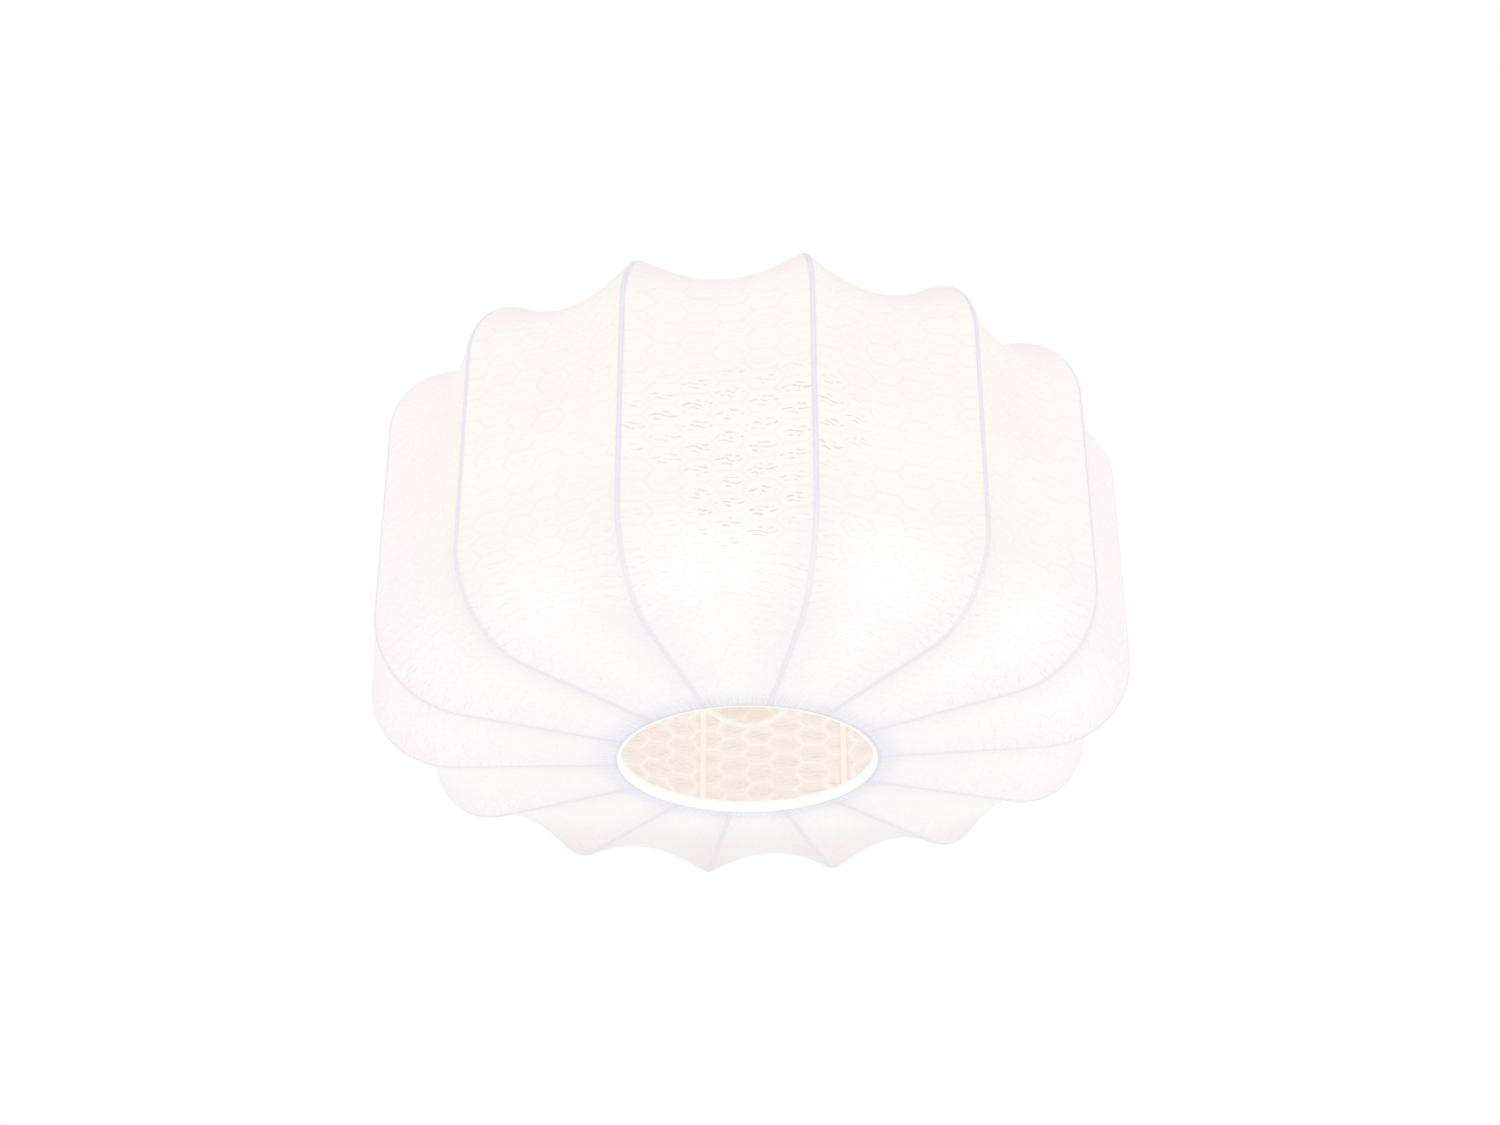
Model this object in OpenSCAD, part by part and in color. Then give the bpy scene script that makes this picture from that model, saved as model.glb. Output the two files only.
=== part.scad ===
// Flush ceiling lantern: a knitted sleeve over a cage of bent wire ribs, hung from
// a lampholder on a short hollow stem under a ceiling cup.
// The origin is on the ceiling, on the lantern's axis. Everything hangs below it.

/* [Cage] */
// Largest diameter over the cover, at the ribs
shade_d = 400; // [340:10:480]
// Height of the cage over the cover
shade_h = 203; // [180:1:240]
// Gap from the ceiling to the top of the shade
ceiling_gap = 12; // [6:1:25]
// Diameter of the rib wire
wire_d = 3.2; // [2.4:0.1:4]
// Outer bend radius of each rib's lower corner
foot_bend = 48; // [35:1:60]
// Outer bend radius of each rib's upper corner
head_bend = 45; // [35:1:60]
// How much narrower the cage is at its upper corner, on the radius
wall_taper = 3; // [0:0.5:8]
// How far the underside rises from the mouth to the lower corner
floor_rise = 3.6; // [0:0.2:10]
// How far the top rises from the top hoop to the upper corner
crown_rise = 1.4; // [0:0.2:5]
// Angle of the first rib about the axis
first_rib = -107.2; // [-180:0.1:180]
// Largest drift of a rib from its even place, from welding by hand
rib_drift = 1; // [0:0.1:2]
// Clear diameter of the mouth in the underside
mouth_d = 131; // [110:1:170]
// Clear diameter of the opening in the top
crown_d = 236; // [190:1:260]
// Height of the bottom hoop's strip
hoop_h = 4.8; // [4.4:0.2:9]
// Thickness of both hoops' strips
hoop_t = 1.5; // [1:0.1:2.5]
// Diameter of a spider arm
arm_d = 3.2; // [2.4:0.1:4]
// Number of spider arms is fixed at three; this is the angle of the first
first_arm = 90; // [-180:1:180]

/* [Cover] */
// Thickness of the knitted cover
cloth_t = 0.8; // [0.5:0.1:1.2]
// Clearance between the cover and the rib wire
cloth_gap = 0.15; // [0.1:0.05:0.4]
// Depth to which the cover sinks between two ribs at the lower corner
foot_sag = 11; // [4:1:20]
// Depth to which the cover sinks between two ribs at the upper corner
head_sag = 14; // [4:1:24]
// Depth to which the cover sinks between two ribs along the side
wall_sag = 8; // [4:1:14]
// Height of the hem's leg inside the top hoop
top_hem_h = 3; // [2:0.2:4]

/* [Ceiling fitting] */
// Outer diameter of the ceiling cup
cup_d = 120; // [112:1:150]
// Depth of the ceiling cup
cup_h = 30; // [26:1:40]
// Sheet thickness of the ceiling cup
cup_t = 0.8; // [0.6:0.1:1.2]
// Bend radius of the cup's lower edge
cup_bend = 5; // [3:0.5:6]
// Sheet thickness of the mounting bracket
bracket_t = 2; // [1.5:0.1:3]
// Width of the bracket's long arms
bracket_w = 24; // [22:1:30]
// Centre distance of the two slots for the ceiling screws
slot_pitch = 72; // [66:1:74]
// End to end length of a slot
slot_len = 12; // [8:1:14]
// Width of a slot
slot_w = 5; // [4:0.1:5.5]
// Diameter of the hole for the supply cable
cable_hole_d = 18; // [12:1:20]
// Centre distance of the two studs
stud_pitch = 100; // [98:1:102]
// Diameter of a stud
stud_d = 4; // [3:0.5:5]
// Clearance of a stud in the cup's hole, on the radius
stud_gap = 0.3; // [0.2:0.1:0.6]

/* [Stem] */
// Outer diameter of the hollow stem
stem_d = 10; // [9:0.5:11]
// Bore of the hollow stem
stem_bore = 7; // [6.6:0.1:7.4]
// Length of the stem that stands up inside the cup
stem_rise = 8; // [7:0.5:9]
// Length of the stem from under the cup to the lampholder's neck
stem_drop = 18; // [14:1:40]
// Thickness of a stem nut
nut_h = 3; // [2:0.5:4]
// Thickness of a stem washer
washer_t = 0.8; // [0.5:0.1:1]

/* [Lampholder] */
// Diameter of the lampholder's outer thread
holder_d = 40; // [38:0.5:42]
// Wall between the outer thread and the holder's bore
holder_wall = 3.5; // [3:0.1:4]
// Length of the holder's cap, neck included
cap_h = 34; // [32:1:38]
// Length of the holder's body below its cap
body_h = 33; // [32:1:38]
// Sheet thickness of the screw shell
shell_t = 0.4; // [0.3:0.05:0.6]
// Thickness of the flange that the shade is clamped against
flange_t = 2; // [1.5:0.1:3]
// Clearance between pieces that slide or turn on each other
running_gap = 0.08; // [0.06:0.01:0.1]
// Gap between faces that press on each other in two moving bodies
face_gap = 0.05; // [0.03:0.01:0.1]
// Thickness of the spider's fitter ring
fitter_t = 1.5; // [1:0.1:2.5]
// Play of the fitter ring round the holder's thread, on the radius
fitter_gap = 1; // [0.5:0.1:1.5]
// Width of the fitter ring
fitter_w = 7; // [6:0.5:9]
// Height of the shade ring
shade_ring_h = 10; // [8:0.5:12]

/* [Bulb] */
// Diameter of the bulb's glass
bulb_d = 60; // [55:1:66]
// Length of the bulb with its cap
bulb_len = 105; // [100:1:112]
// Diameter of the bulb's cap
bulb_cap_d = 26.2; // [26:0.1:26.4]
// Length of the bulb's metal cap
bulb_cap_h = 25; // [24:0.5:27]
// Thickness of the glass
glass_t = 0.6; // [0.5:0.1:1]

/* [Hidden] */
NODES = [
    "mounting_bracket", "bracket_studs", "ceiling_cup", "cup_nuts", "terminal_block", "terminal_sleeves",
    "terminal_screws", "block_screw", "earth_lug", "earth_screw", "stem", "stem_washers", "stem_nuts",
    "live_lead", "neutral_lead", "earth_lead", "holder_cap", "holder_body", "holder_insert",
    "holder_shell", "centre_contact", "holder_terminals", "holder_screws", "contact_rivets",
    "neck_screw", "shade_ring", "fitter_ring", "spider_arm_1", "spider_arm_2", "spider_arm_3",
    "top_hoop", "bottom_hoop", "rib_01", "rib_02", "rib_03", "rib_04", "rib_05", "rib_06", "rib_07",
    "rib_08", "rib_09", "rib_10", "rib_11", "rib_12", "rib_13", "rib_14", "fabric_cover", "top_hem",
    "bottom_hem", "bulb_glass", "bulb_cap", "bulb_insulator", "bulb_tip", "bulb_mount", "bulb_wires",
    "bulb_filament"
];
RIBS = [for (name = NODES) if (name[0] == "r" && name[1] == "i") name];
ARMS = [for (name = NODES) if (name[0] == "s" && name[1] == "p") name];
$fn = 96;
eps = 0.01;

// Heights of the main seats, all measured down from the ceiling
shade_z = -ceiling_gap - shade_h;
cup_z = -cup_h;
neck_z = cup_z - stem_drop;
body_z = neck_z - cap_h;
flange_z = body_z - 6;
rim_z = body_z - body_h;
insert_foot_z = body_z - 4;
tip_z = insert_foot_z - 2;
bulb_foot_z = tip_z - bulb_len;
fitter_z = flange_z - face_gap;

// Radii of the lampholder
holder_r = holder_d / 2;
bore_r = holder_r - holder_wall;
shell_in_r = bulb_cap_d / 2 + 0.1;
fitter_in_r = holder_r + fitter_gap;
fitter_out_r = fitter_in_r + fitter_w;

// Vectors in the plane of a rib: x is the radius, y the height
function unit(v) = v / norm(v);
function left(v) = [-v.y, v.x];
function turn(u, v) = acos(u * v);

// The cover's outline at a rib, on the cage's own height: mouth, lower corner, upper corner, crown
mouth_r = mouth_d / 2;
crown_r = crown_d / 2;
mouth_hoop_r = mouth_r + cloth_t + hoop_t;
crown_hoop_r = crown_r + cloth_t + hoop_t;
// The top hoop is high enough for the hem's leg with the ends of the spider arms below it
top_hoop_h = top_hem_h + arm_d + 0.2;
outline = [
    [mouth_hoop_r, 0],
    [shade_d / 2 + wall_taper / 5, floor_rise],
    [shade_d / 2 - wall_taper * 4 / 5, shade_h + crown_rise],
    [crown_hoop_r, shade_h]
];
way = [for (i = [0 : 2]) unit(outline[i + 1] - outline[i])];
bends = [foot_bend, head_bend];

// An outline corner moved inward by d, and the centre and tangent length of its bend
function inset_point(i, d) =
    i == 0 ? outline[0] + left(way[0]) * d :
    i == 3 ? outline[3] + left(way[2]) * d :
    outline[i] + (left(way[i - 1]) + left(way[i])) * d / (1 + way[i - 1] * way[i]);
function bend_reach(i, r) = r * tan(turn(way[i - 1], way[i]) / 2);
function bend_centre(i) =
    outline[i] - way[i - 1] * bend_reach(i, bends[i - 1]) + left(way[i - 1]) * bends[i - 1];

// Azimuth of rib i: even spacing with a small drift that closes after one turn
rib_step = 360 / len(RIBS);
function rib_angle(i) = first_rib + i * rib_step + rib_drift * (sin(i * rib_step - 25) + 0.85 * sin(3 * i * rib_step));
rib_inset = cloth_t + cloth_gap + wire_d / 2;

// A straight round bar between two points
module bar(a, b, r, fn = 48) {
    v = b - a;
    translate(a) rotate([0, acos(v.z / norm(v)), atan2(v.y, v.x)]) cylinder(h = norm(v), r = r, $fn = fn);
}

// A flat ring
module ring(in_r, out_r, z_low, z_high) {
    translate([0, 0, z_low]) difference() {
        cylinder(h = z_high - z_low, r = out_r);
        translate([0, 0, -1]) cylinder(h = z_high - z_low + 2, r = in_r);
    }
}

// A hexagon nut on the axis, hanging from z_high
module hex_nut(z_high, h, across, hole_r) {
    translate([0, 0, z_high - h]) difference() {
        cylinder(h = h, r = across / sqrt(3), $fn = 6);
        translate([0, 0, -1]) cylinder(h = h + 2, r = hole_r);
    }
}

// Smooth route through hand-set points, then a tube swept along it
function spline(p, k, t) =
    let (a = p[max(k - 1, 0)], b = p[k], c = p[k + 1], d = p[min(k + 2, len(p) - 1)])
    0.5 * (2 * b + (c - a) * t + (2 * a - 5 * b + 4 * c - d) * t * t + (3 * b - 3 * c + d - a) * t * t * t);
function route(p, steps) = concat(
    [for (k = [0 : len(p) - 2], s = [0 : steps - 1]) spline(p, k, s / steps)], [p[len(p) - 1]]);
function heading(q, k) = unit(q[min(k + 1, len(q) - 1)] - q[max(k - 1, 0)]);
function square_to(n, t) = unit(n - t * (n * t));
function sides_of(q, n0) =
    [for (k = 0, n = square_to(n0, heading(q, 0)); k < len(q);
          k = k + 1, n = k < len(q) ? square_to(n, heading(q, k)) : n) n];
module tube(points, r, n0, steps = 2, sides = 8) {
    q = route(points, steps);
    n = sides_of(q, n0);
    rings = len(q);
    verts = [for (k = [0 : rings - 1], j = [0 : sides - 1])
        let (a = j * 360 / sides) q[k] + r * (cos(a) * n[k] + sin(a) * cross(heading(q, k), n[k]))];
    walls = [for (k = [0 : rings - 2], j = [0 : sides - 1])
        let (a = k * sides + j, b = k * sides + (j + 1) % sides) [a, a + sides, b + sides, b]];
    caps = [[for (j = [0 : sides - 1]) j], [for (j = [sides - 1 : -1 : 0]) (rings - 1) * sides + j]];
    polyhedron(points = verts, faces = concat(walls, caps), convexity = 4);
}

// ---- Ceiling fitting ----

tab_y = 36;
earth_y = -18;
module slot_hole(x) {
    for (side = [-1, 1]) translate([x + side * (slot_len - slot_w) / 2, 0, -bracket_t - 1])
        cylinder(h = bracket_t + 2, d = slot_w);
    translate([x - (slot_len - slot_w) / 2, -slot_w / 2, -bracket_t - 1])
        cube([slot_len - slot_w, slot_w, bracket_t + 2]);
}
module mounting_bracket() {
    color("silver") difference() {
        translate([0, 0, -bracket_t]) union() {
            translate([-stud_pitch / 2 - 6, -bracket_w / 2, 0]) cube([stud_pitch + 12, bracket_w, bracket_t]);
            translate([-block_w / 2, 0, 0]) cube([block_w, tab_y, bracket_t]);
            translate([-8, earth_y - 7, 0]) cube([16, 26, bracket_t]);
        }
        for (side = [-1, 1]) {
            slot_hole(side * slot_pitch / 2);
            translate([side * stud_pitch / 2, 0, -bracket_t - 1]) cylinder(h = bracket_t + 2, d = stud_d);
        }
        translate([0, 0, -bracket_t - 1]) cylinder(h = bracket_t + 2, d = cable_hole_d);
        translate([block_screw_x, block_y, -bracket_t - 1]) cylinder(h = bracket_t + 2, r = block_screw_r);
        translate([0, earth_y, -bracket_t - 1]) cylinder(h = bracket_t + 2, r = 2);
    }
}

nut_across = 7;
cup_nut_h = 8;
stud_end = 5.5;
module bracket_studs() {
    color("silver") for (side = [-1, 1]) translate([side * stud_pitch / 2, 0, cup_z - stud_end])
        cylinder(h = cup_h + stud_end, d = stud_d);
}
module cup_nuts() {
    color("white") for (side = [-1, 1]) translate([side * stud_pitch / 2, 0, cup_z - cup_nut_h]) difference() {
        union() {
            translate([0, 0, 3.5]) cylinder(h = cup_nut_h - 3.5, r = nut_across / sqrt(3), $fn = 6);
            intersection() {
                translate([0, 0, 3.5]) sphere(r = 3.4, $fn = 48);
                cylinder(h = cup_nut_h, r = 4);
            }
        }
        translate([0, 0, cup_nut_h - stud_end]) cylinder(h = stud_end + 1, d = stud_d);
    }
}

// Half section of the cup's skin at a given inset from its outer face
function cup_skin(d) = concat(
    [for (a = [0 : 15 : 90]) [
        cup_d / 2 - cup_bend + (cup_bend - d) * cos(a),
        cup_z + cup_bend - (cup_bend - d) * sin(a)]],
    [[0, cup_z + d]]);
module ceiling_cup() {
    color("white") difference() {
        rotate_extrude() polygon(concat(
            [[cup_d / 2, 0]], cup_skin(0),
            [for (i = [len(cup_skin(cup_t)) - 1 : -1 : 0]) cup_skin(cup_t)[i]], [[cup_d / 2 - cup_t, 0]]));
        translate([0, 0, cup_z - 1]) cylinder(h = cup_t + 2, d = stem_d + 0.4);
        for (side = [-1, 1]) translate([side * stud_pitch / 2, 0, cup_z - 1])
            cylinder(h = cup_t + 2, r = stud_d / 2 + stud_gap);
    }
}

// The terminal block stands with its screws facing down
block_w = 30;
block_l = 17;
block_h = 13;
block_y = 23;
pole_pitch = 10;
sleeve_r = 2.5;
sleeve_bore_r = 1.5;
sleeve_l = 15;
sleeve_z = -bracket_t - 6.5;
pole_screw_r = 1.4;
pole_screw_step = 4.5;
pole_well_r = 2;
block_screw_x = -pole_pitch / 2;
block_screw_r = 1.5;
lead_r = 1.1;
module terminal_block() {
    color("ivory") difference() {
        translate([-block_w / 2, block_y - block_l / 2, -bracket_t - block_h]) cube([block_w, block_l, block_h]);
        for (pole = [-1 : 1]) translate([pole * pole_pitch, block_y, 0]) {
            translate([0, -block_l / 2 - 1, sleeve_z]) rotate([-90, 0, 0]) cylinder(h = block_l + 2, r = sleeve_r);
            for (end = [-1, 1]) translate([0, end * pole_screw_step, -bracket_t - block_h - 1])
                cylinder(h = block_h - 5.5, r = pole_well_r);
        }
        translate([block_screw_x, block_y, -bracket_t - block_h - 1]) cylinder(h = block_h + 2, r = block_screw_r);
    }
}
module terminal_sleeves() {
    color("goldenrod") for (pole = [-1 : 1]) translate([pole * pole_pitch, block_y, sleeve_z]) difference() {
        translate([0, -sleeve_l / 2, 0]) rotate([-90, 0, 0]) cylinder(h = sleeve_l, r = sleeve_r);
        translate([0, -sleeve_l / 2 - 1, 0]) rotate([-90, 0, 0]) cylinder(h = sleeve_l + 2, r = sleeve_bore_r);
        for (end = [-1, 1]) translate([0, end * pole_screw_step, -sleeve_r - 1])
            cylinder(h = sleeve_r + 1, r = pole_screw_r);
    }
}
module terminal_screws() {
    low = -bracket_t - block_h + 1;
    color("silver") for (pole = [-1 : 1], end = [-1, 1])
        translate([pole * pole_pitch, block_y + end * pole_screw_step, low]) difference() {
            cylinder(h = sleeve_z - lead_r - low, r = pole_screw_r);
            translate([-2, -0.25, -eps]) cube([4, 0.5, 0.8]);
        }
}
module block_screw() {
    z = -bracket_t - block_h;
    color("silver") translate([block_screw_x, block_y, z - 2]) difference() {
        union() {
            cylinder(h = 2, r = 2.8);
            cylinder(h = 2 + block_h + bracket_t, r = block_screw_r);
        }
        translate([-3, -0.4, -eps]) cube([6, 0.8, 0.9]);
    }
}

lug_t = 0.8;
barrel_r = 1.8;
barrel_z = -bracket_t - barrel_r;
module earth_lug() {
    color("silver") difference() {
        union() {
            translate([0, earth_y, -bracket_t - lug_t]) cylinder(h = lug_t, r = 4.2);
            translate([-1.5, earth_y, -bracket_t - lug_t]) cube([3, 7, lug_t]);
            translate([0, earth_y + 4.6, barrel_z]) rotate([-90, 0, 0]) cylinder(h = 5, r = barrel_r);
        }
        translate([0, earth_y, -bracket_t - lug_t - 1]) cylinder(h = lug_t + 2, r = 2);
        translate([0, earth_y + 4, barrel_z]) rotate([-90, 0, 0]) cylinder(h = 7, r = lead_r + 0.05);
    }
}
module earth_screw() {
    z = -bracket_t - lug_t;
    color("silver") translate([0, earth_y, z - 2]) difference() {
        union() {
            cylinder(h = 2, r = 3.4);
            cylinder(h = 2 + lug_t + bracket_t, r = 2);
        }
        translate([-4, -0.5, -eps]) cube([8, 1, 0.9]);
    }
}

// ---- Stem and leads ----

stem_top_z = cup_z + cup_t + stem_rise;
stem_foot_z = neck_z - 10;
module stem() {
    color("silver") ring(stem_bore / 2, stem_d / 2, stem_foot_z, stem_top_z);
}
module stem_washers() {
    color("silver") {
        ring(stem_d / 2, stem_d / 2 + 4, cup_z + cup_t, cup_z + cup_t + washer_t);
        ring(stem_d / 2, stem_d / 2 + 4, cup_z - washer_t, cup_z);
    }
}
module stem_nuts() {
    color("silver") for (z = [cup_z + cup_t + washer_t + nut_h, cup_z - washer_t, neck_z + nut_h])
        hex_nut(z, nut_h, stem_d + 4, stem_d / 2);
}

// Routes chosen by hand: from the terminal block, into the stem, and on to the lampholder
lead_x = 1.35;
terminal_z = neck_z - 16;
function lead_route(side) = [
    [side * pole_pitch, block_y - 3, sleeve_z],
    [side * pole_pitch, block_y - 9, sleeve_z],
    [side * 9.2, 10, sleeve_z - 0.2],
    [side * 6.5, 5, sleeve_z - 1.5],
    [side * 3, 1.4, stem_top_z + 8],
    [side * 1.6, 0.2, stem_top_z + 3],
    [side * lead_x, 0, stem_top_z - 3],
    [side * lead_x, 0, (stem_top_z + stem_foot_z) / 2],
    [side * lead_x, 0, stem_foot_z + 2],
    [side * 1.9, 0, terminal_z + 4.2],
    [side * 3.4, 0, terminal_z + 1.3],
    [side * 5.8, 0, terminal_z],
    [side * 8.4, 0, terminal_z]
];
module live_lead() { color("saddlebrown") tube(lead_route(-1), lead_r, [0, 0, 1]); }
module neutral_lead() { color("steelblue") tube(lead_route(1), lead_r, [0, 0, 1]); }
module earth_lead() {
    color("yellowgreen") tube([
        [0, block_y - 3, sleeve_z], [0, block_y - 10, sleeve_z], [0, 6, sleeve_z + 0.4],
        [0, 0, (sleeve_z + barrel_z) / 2], [0, -6, barrel_z - 0.5],
        [0, earth_y + 9, barrel_z], [0, earth_y + 5.2, barrel_z]
    ], lead_r, [0, 0, 1]);
}

// ---- Lampholder ----

neck_screw_z = neck_z - 4;
neck_screw_r = 1.5;
holder_skin = 1.8;
cap_r = holder_r + 1;
// Half section of the cap: x is the radius, y the height
module holder_cap() {
    neck_r = stem_d / 2 + 3;
    in_r = cap_r - holder_skin;
    color("white") difference() {
        rotate_extrude() polygon([
            [stem_d / 2, neck_z], [neck_r, neck_z], [neck_r, neck_z - 7], [neck_r + 5, neck_z - 9.5],
            [cap_r - 2, neck_z - 12.5], [cap_r, neck_z - 16.5], [cap_r, body_z], [in_r, body_z],
            [in_r, neck_z - 17], [in_r - 2, neck_z - 13.8], [neck_r + 4, neck_z - 11.4],
            [neck_r - 1, neck_z - 10], [stem_d / 2, neck_z - 10]
        ]);
        translate([0, 0, neck_screw_z]) rotate([90, 0, 0]) cylinder(h = 20, r = neck_screw_r);
    }
}
module neck_screw() {
    color("silver") translate([0, -stem_d / 2 - 3.4, neck_screw_z]) rotate([-90, 0, 0]) difference() {
        cylinder(h = 3.4, r = neck_screw_r);
        translate([-2, -0.3, -eps]) cube([4, 0.6, 0.8]);
    }
}
spigot_h = 4;
rim_chamfer = 1.2;
spigot_r = cap_r - holder_skin - 0.1;
module holder_body() {
    color("white") difference() {
        union() {
            translate([0, 0, rim_z]) cylinder(h = body_h, r = holder_r);
            translate([0, 0, flange_z]) cylinder(h = flange_t, r = holder_r + 3.5);
            translate([0, 0, body_z - eps]) cylinder(h = spigot_h + eps, r = spigot_r);
        }
        translate([0, 0, rim_z - 1]) cylinder(h = body_h + spigot_h + 2, r = bore_r);
        translate([0, 0, rim_z - eps]) cylinder(h = rim_chamfer, r1 = bore_r + rim_chamfer, r2 = bore_r);
    }
}
insert_top_z = terminal_z - 2;
module holder_insert() {
    color("whitesmoke") difference() {
        union() {
            translate([0, 0, body_z + spigot_h])
                cylinder(h = insert_top_z - body_z - spigot_h, r = spigot_r - 0.3);
            translate([0, 0, insert_foot_z]) cylinder(h = body_z + spigot_h - insert_foot_z + eps, r = bore_r - 0.2);
        }
        for (side = [-1, 1]) translate([side * rivet_x, 0, insert_foot_z - 1])
            cylinder(h = insert_top_z - insert_foot_z + 2, r = rivet_r);
    }
}
rivet_x = 10.5;
rivet_r = 1.2;
module contact_rivets() {
    color("goldenrod") for (side = [-1, 1]) translate([side * rivet_x, 0, insert_foot_z - 0.5])
        cylinder(h = insert_top_z - insert_foot_z + 0.5, r = rivet_r);
}
module holder_terminals() {
    color("goldenrod") for (side = [-1, 1]) translate([side * 9, 0, insert_top_z]) difference() {
        translate([-3, -4, 0]) cube([6, 8, 4]);
        translate([-side * 4, 0, 2]) rotate([0, side * 90, 0]) cylinder(h = 5.5, r = lead_r + 0.1);
        translate([0, 0, 2]) cylinder(h = 3, r = 1.25);
    }
}
module holder_screws() {
    color("silver") for (side = [-1, 1]) translate([side * 9, 0, terminal_z + lead_r + 0.05]) difference() {
        union() {
            cylinder(h = 3 - lead_r, r = 1.25);
            translate([0, 0, 2 - lead_r]) cylinder(h = 1.2, r = 2.2);
        }
        translate([-3, -0.3, 2.6 - lead_r]) cube([6, 0.6, 1]);
    }
}
module holder_shell() {
    out_r = shell_in_r + shell_t;
    color("gold") difference() {
        union() {
            ring(shell_in_r, out_r, rim_z + 3, insert_foot_z);
            intersection() {
                ring(8.5, out_r, insert_foot_z - 0.5, insert_foot_z);
                translate([4, -4, insert_foot_z - 1]) cube([out_r, 8, 2]);
            }
        }
        translate([rivet_x, 0, insert_foot_z - 1]) cylinder(h = 2, r = rivet_r);
    }
}
module centre_contact() {
    color("goldenrod") difference() {
        union() {
            translate([-rivet_x - 2, -2.5, insert_foot_z - 0.5]) cube([rivet_x + 5, 5, 0.5]);
            translate([0, 0, tip_z + face_gap]) cylinder(h = insert_foot_z - tip_z - face_gap, r = 2.4);
        }
        translate([-rivet_x, 0, insert_foot_z - 1]) cylinder(h = 2, r = rivet_r);
    }
}
module shade_ring() {
    top = fitter_z - fitter_t - face_gap;
    grips = 24;
    color("white") difference() {
        union() {
            translate([0, 0, top - 2.4]) cylinder(h = 2.4, r = fitter_out_r - 1);
            translate([0, 0, top - shade_ring_h]) cylinder(h = shade_ring_h - 2, r = holder_r + 3.4);
        }
        translate([0, 0, top - shade_ring_h - 1]) cylinder(h = shade_ring_h + 2, r = holder_r + running_gap);
        for (i = [0 : grips - 1]) rotate(i * 360 / grips)
            translate([holder_r + 4, 0, top - shade_ring_h - 1]) cylinder(h = shade_ring_h - 1.4, r = 1, $fn = 24);
    }
}

// ---- Cage ----

module fitter_ring() {
    color("ivory") ring(fitter_in_r, fitter_out_r, fitter_z - fitter_t, fitter_z);
}
module spider_arm(i) {
    a = first_arm + i * 360 / len(ARMS);
    outer = [crown_hoop_r - hoop_t / 2, 0, -ceiling_gap - cloth_t - top_hoop_h + arm_d / 2 + 0.2];
    inner = [fitter_out_r - 2, 0, fitter_z - fitter_t / 2];
    color("ivory") rotate(a) difference() {
        bar(inner, outer, arm_d / 2);
        translate([0, 0, fitter_z - fitter_t - 5]) cylinder(h = fitter_t + 10, r = fitter_out_r);
        ring(crown_hoop_r - hoop_t, crown_hoop_r + 10, -ceiling_gap - 40, -ceiling_gap + 10);
    }
}
module top_hoop() {
    color("ivory") ring(crown_hoop_r - hoop_t, crown_hoop_r,
        -ceiling_gap - cloth_t - top_hoop_h, -ceiling_gap - cloth_t);
}
module bottom_hoop() {
    color("ivory") ring(mouth_hoop_r - hoop_t, mouth_hoop_r, shade_z + cloth_t, shade_z + cloth_t + hoop_h);
}

// One rib: floor, lower bend, side, upper bend and top, as one bent wire between the two hoops
// A rib and the cover over it take each bend in the same steps, so that they keep their gap
bend_steps = 8;
function rib_arc(i) = [for (s = [0 : bend_steps])
    let (a = atan2(-left(way[i - 1]).y, -left(way[i - 1]).x) + turn(way[i - 1], way[i]) * s / bend_steps)
    bend_centre(i) + (bends[i - 1] - rib_inset) * [cos(a), sin(a)]];
module rib(i) {
    line = concat([inset_point(0, rib_inset)], rib_arc(1), rib_arc(2), [inset_point(3, rib_inset)]);
    color("ivory") translate([0, 0, shade_z]) rotate(rib_angle(i))
        tube([for (p = line) [p.x, 0, p.y]], wire_d / 2, [0, 1, 0], 1, 12);
}

// ---- Cover ----

// Stations along the outline: [point, inward direction, sag between ribs]
function arc_stations(i, sag) = [for (s = [0 : bend_steps])
    let (a = atan2(-left(way[i - 1]).y, -left(way[i - 1]).x) + turn(way[i - 1], way[i]) * s / bend_steps,
         out = [cos(a), sin(a)])
    [bend_centre(i) + bends[i - 1] * out, -out, sag]];
stations = concat(
    [[outline[0] + way[0] * 0.15, left(way[0]), 0]],
    [[outline[0] + (bend_centre(1) - outline[0]) * way[0] * way[0] / 2, left(way[0]), foot_sag / 3]],
    arc_stations(1, foot_sag),
    [[(outline[1] + outline[2]) / 2, left(way[1]), wall_sag]],
    arc_stations(2, head_sag),
    [[outline[3] - way[2] * 0.15, left(way[2]), 0]]);
// Places between two ribs, and how much of the sag each one takes
places = [0.03, 0.2, 0.4, 0.6, 0.8, 0.97];
function sag_at(u) = u < 0.1 || u > 0.9 ? 0 : 4 * u * (1 - u);
module fabric_cover() {
    n = len(stations);
    columns = [for (i = [0 : len(RIBS) - 1], u = places)
        [rib_angle(i) + u * (rib_angle(i + 1) - rib_angle(i)), sag_at(u)]];
    m = len(columns);
    function vertex(c, s, depth) =
        let (p = s[0] + s[1] * (s[2] * c[1] + depth)) [p.x * cos(c[0]), p.x * sin(c[0]), shade_z + p.y];
    verts = [for (depth = [0, cloth_t], c = columns, s = stations) vertex(c, s, depth)];
    in = m * n;
    faces = [for (j = [0 : m - 1]) let (a = j * n, b = ((j + 1) % m) * n) each concat(
        [for (k = [0 : n - 2]) [a + k, a + k + 1, b + k + 1, b + k]],
        [for (k = [0 : n - 2]) [in + a + k, in + b + k, in + b + k + 1, in + a + k + 1]],
        [[a, b, in + b, in + a], [a + n - 1, in + a + n - 1, in + b + n - 1, b + n - 1]])];
    color("floralwhite") polyhedron(points = verts, faces = faces, convexity = 8);
}
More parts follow.
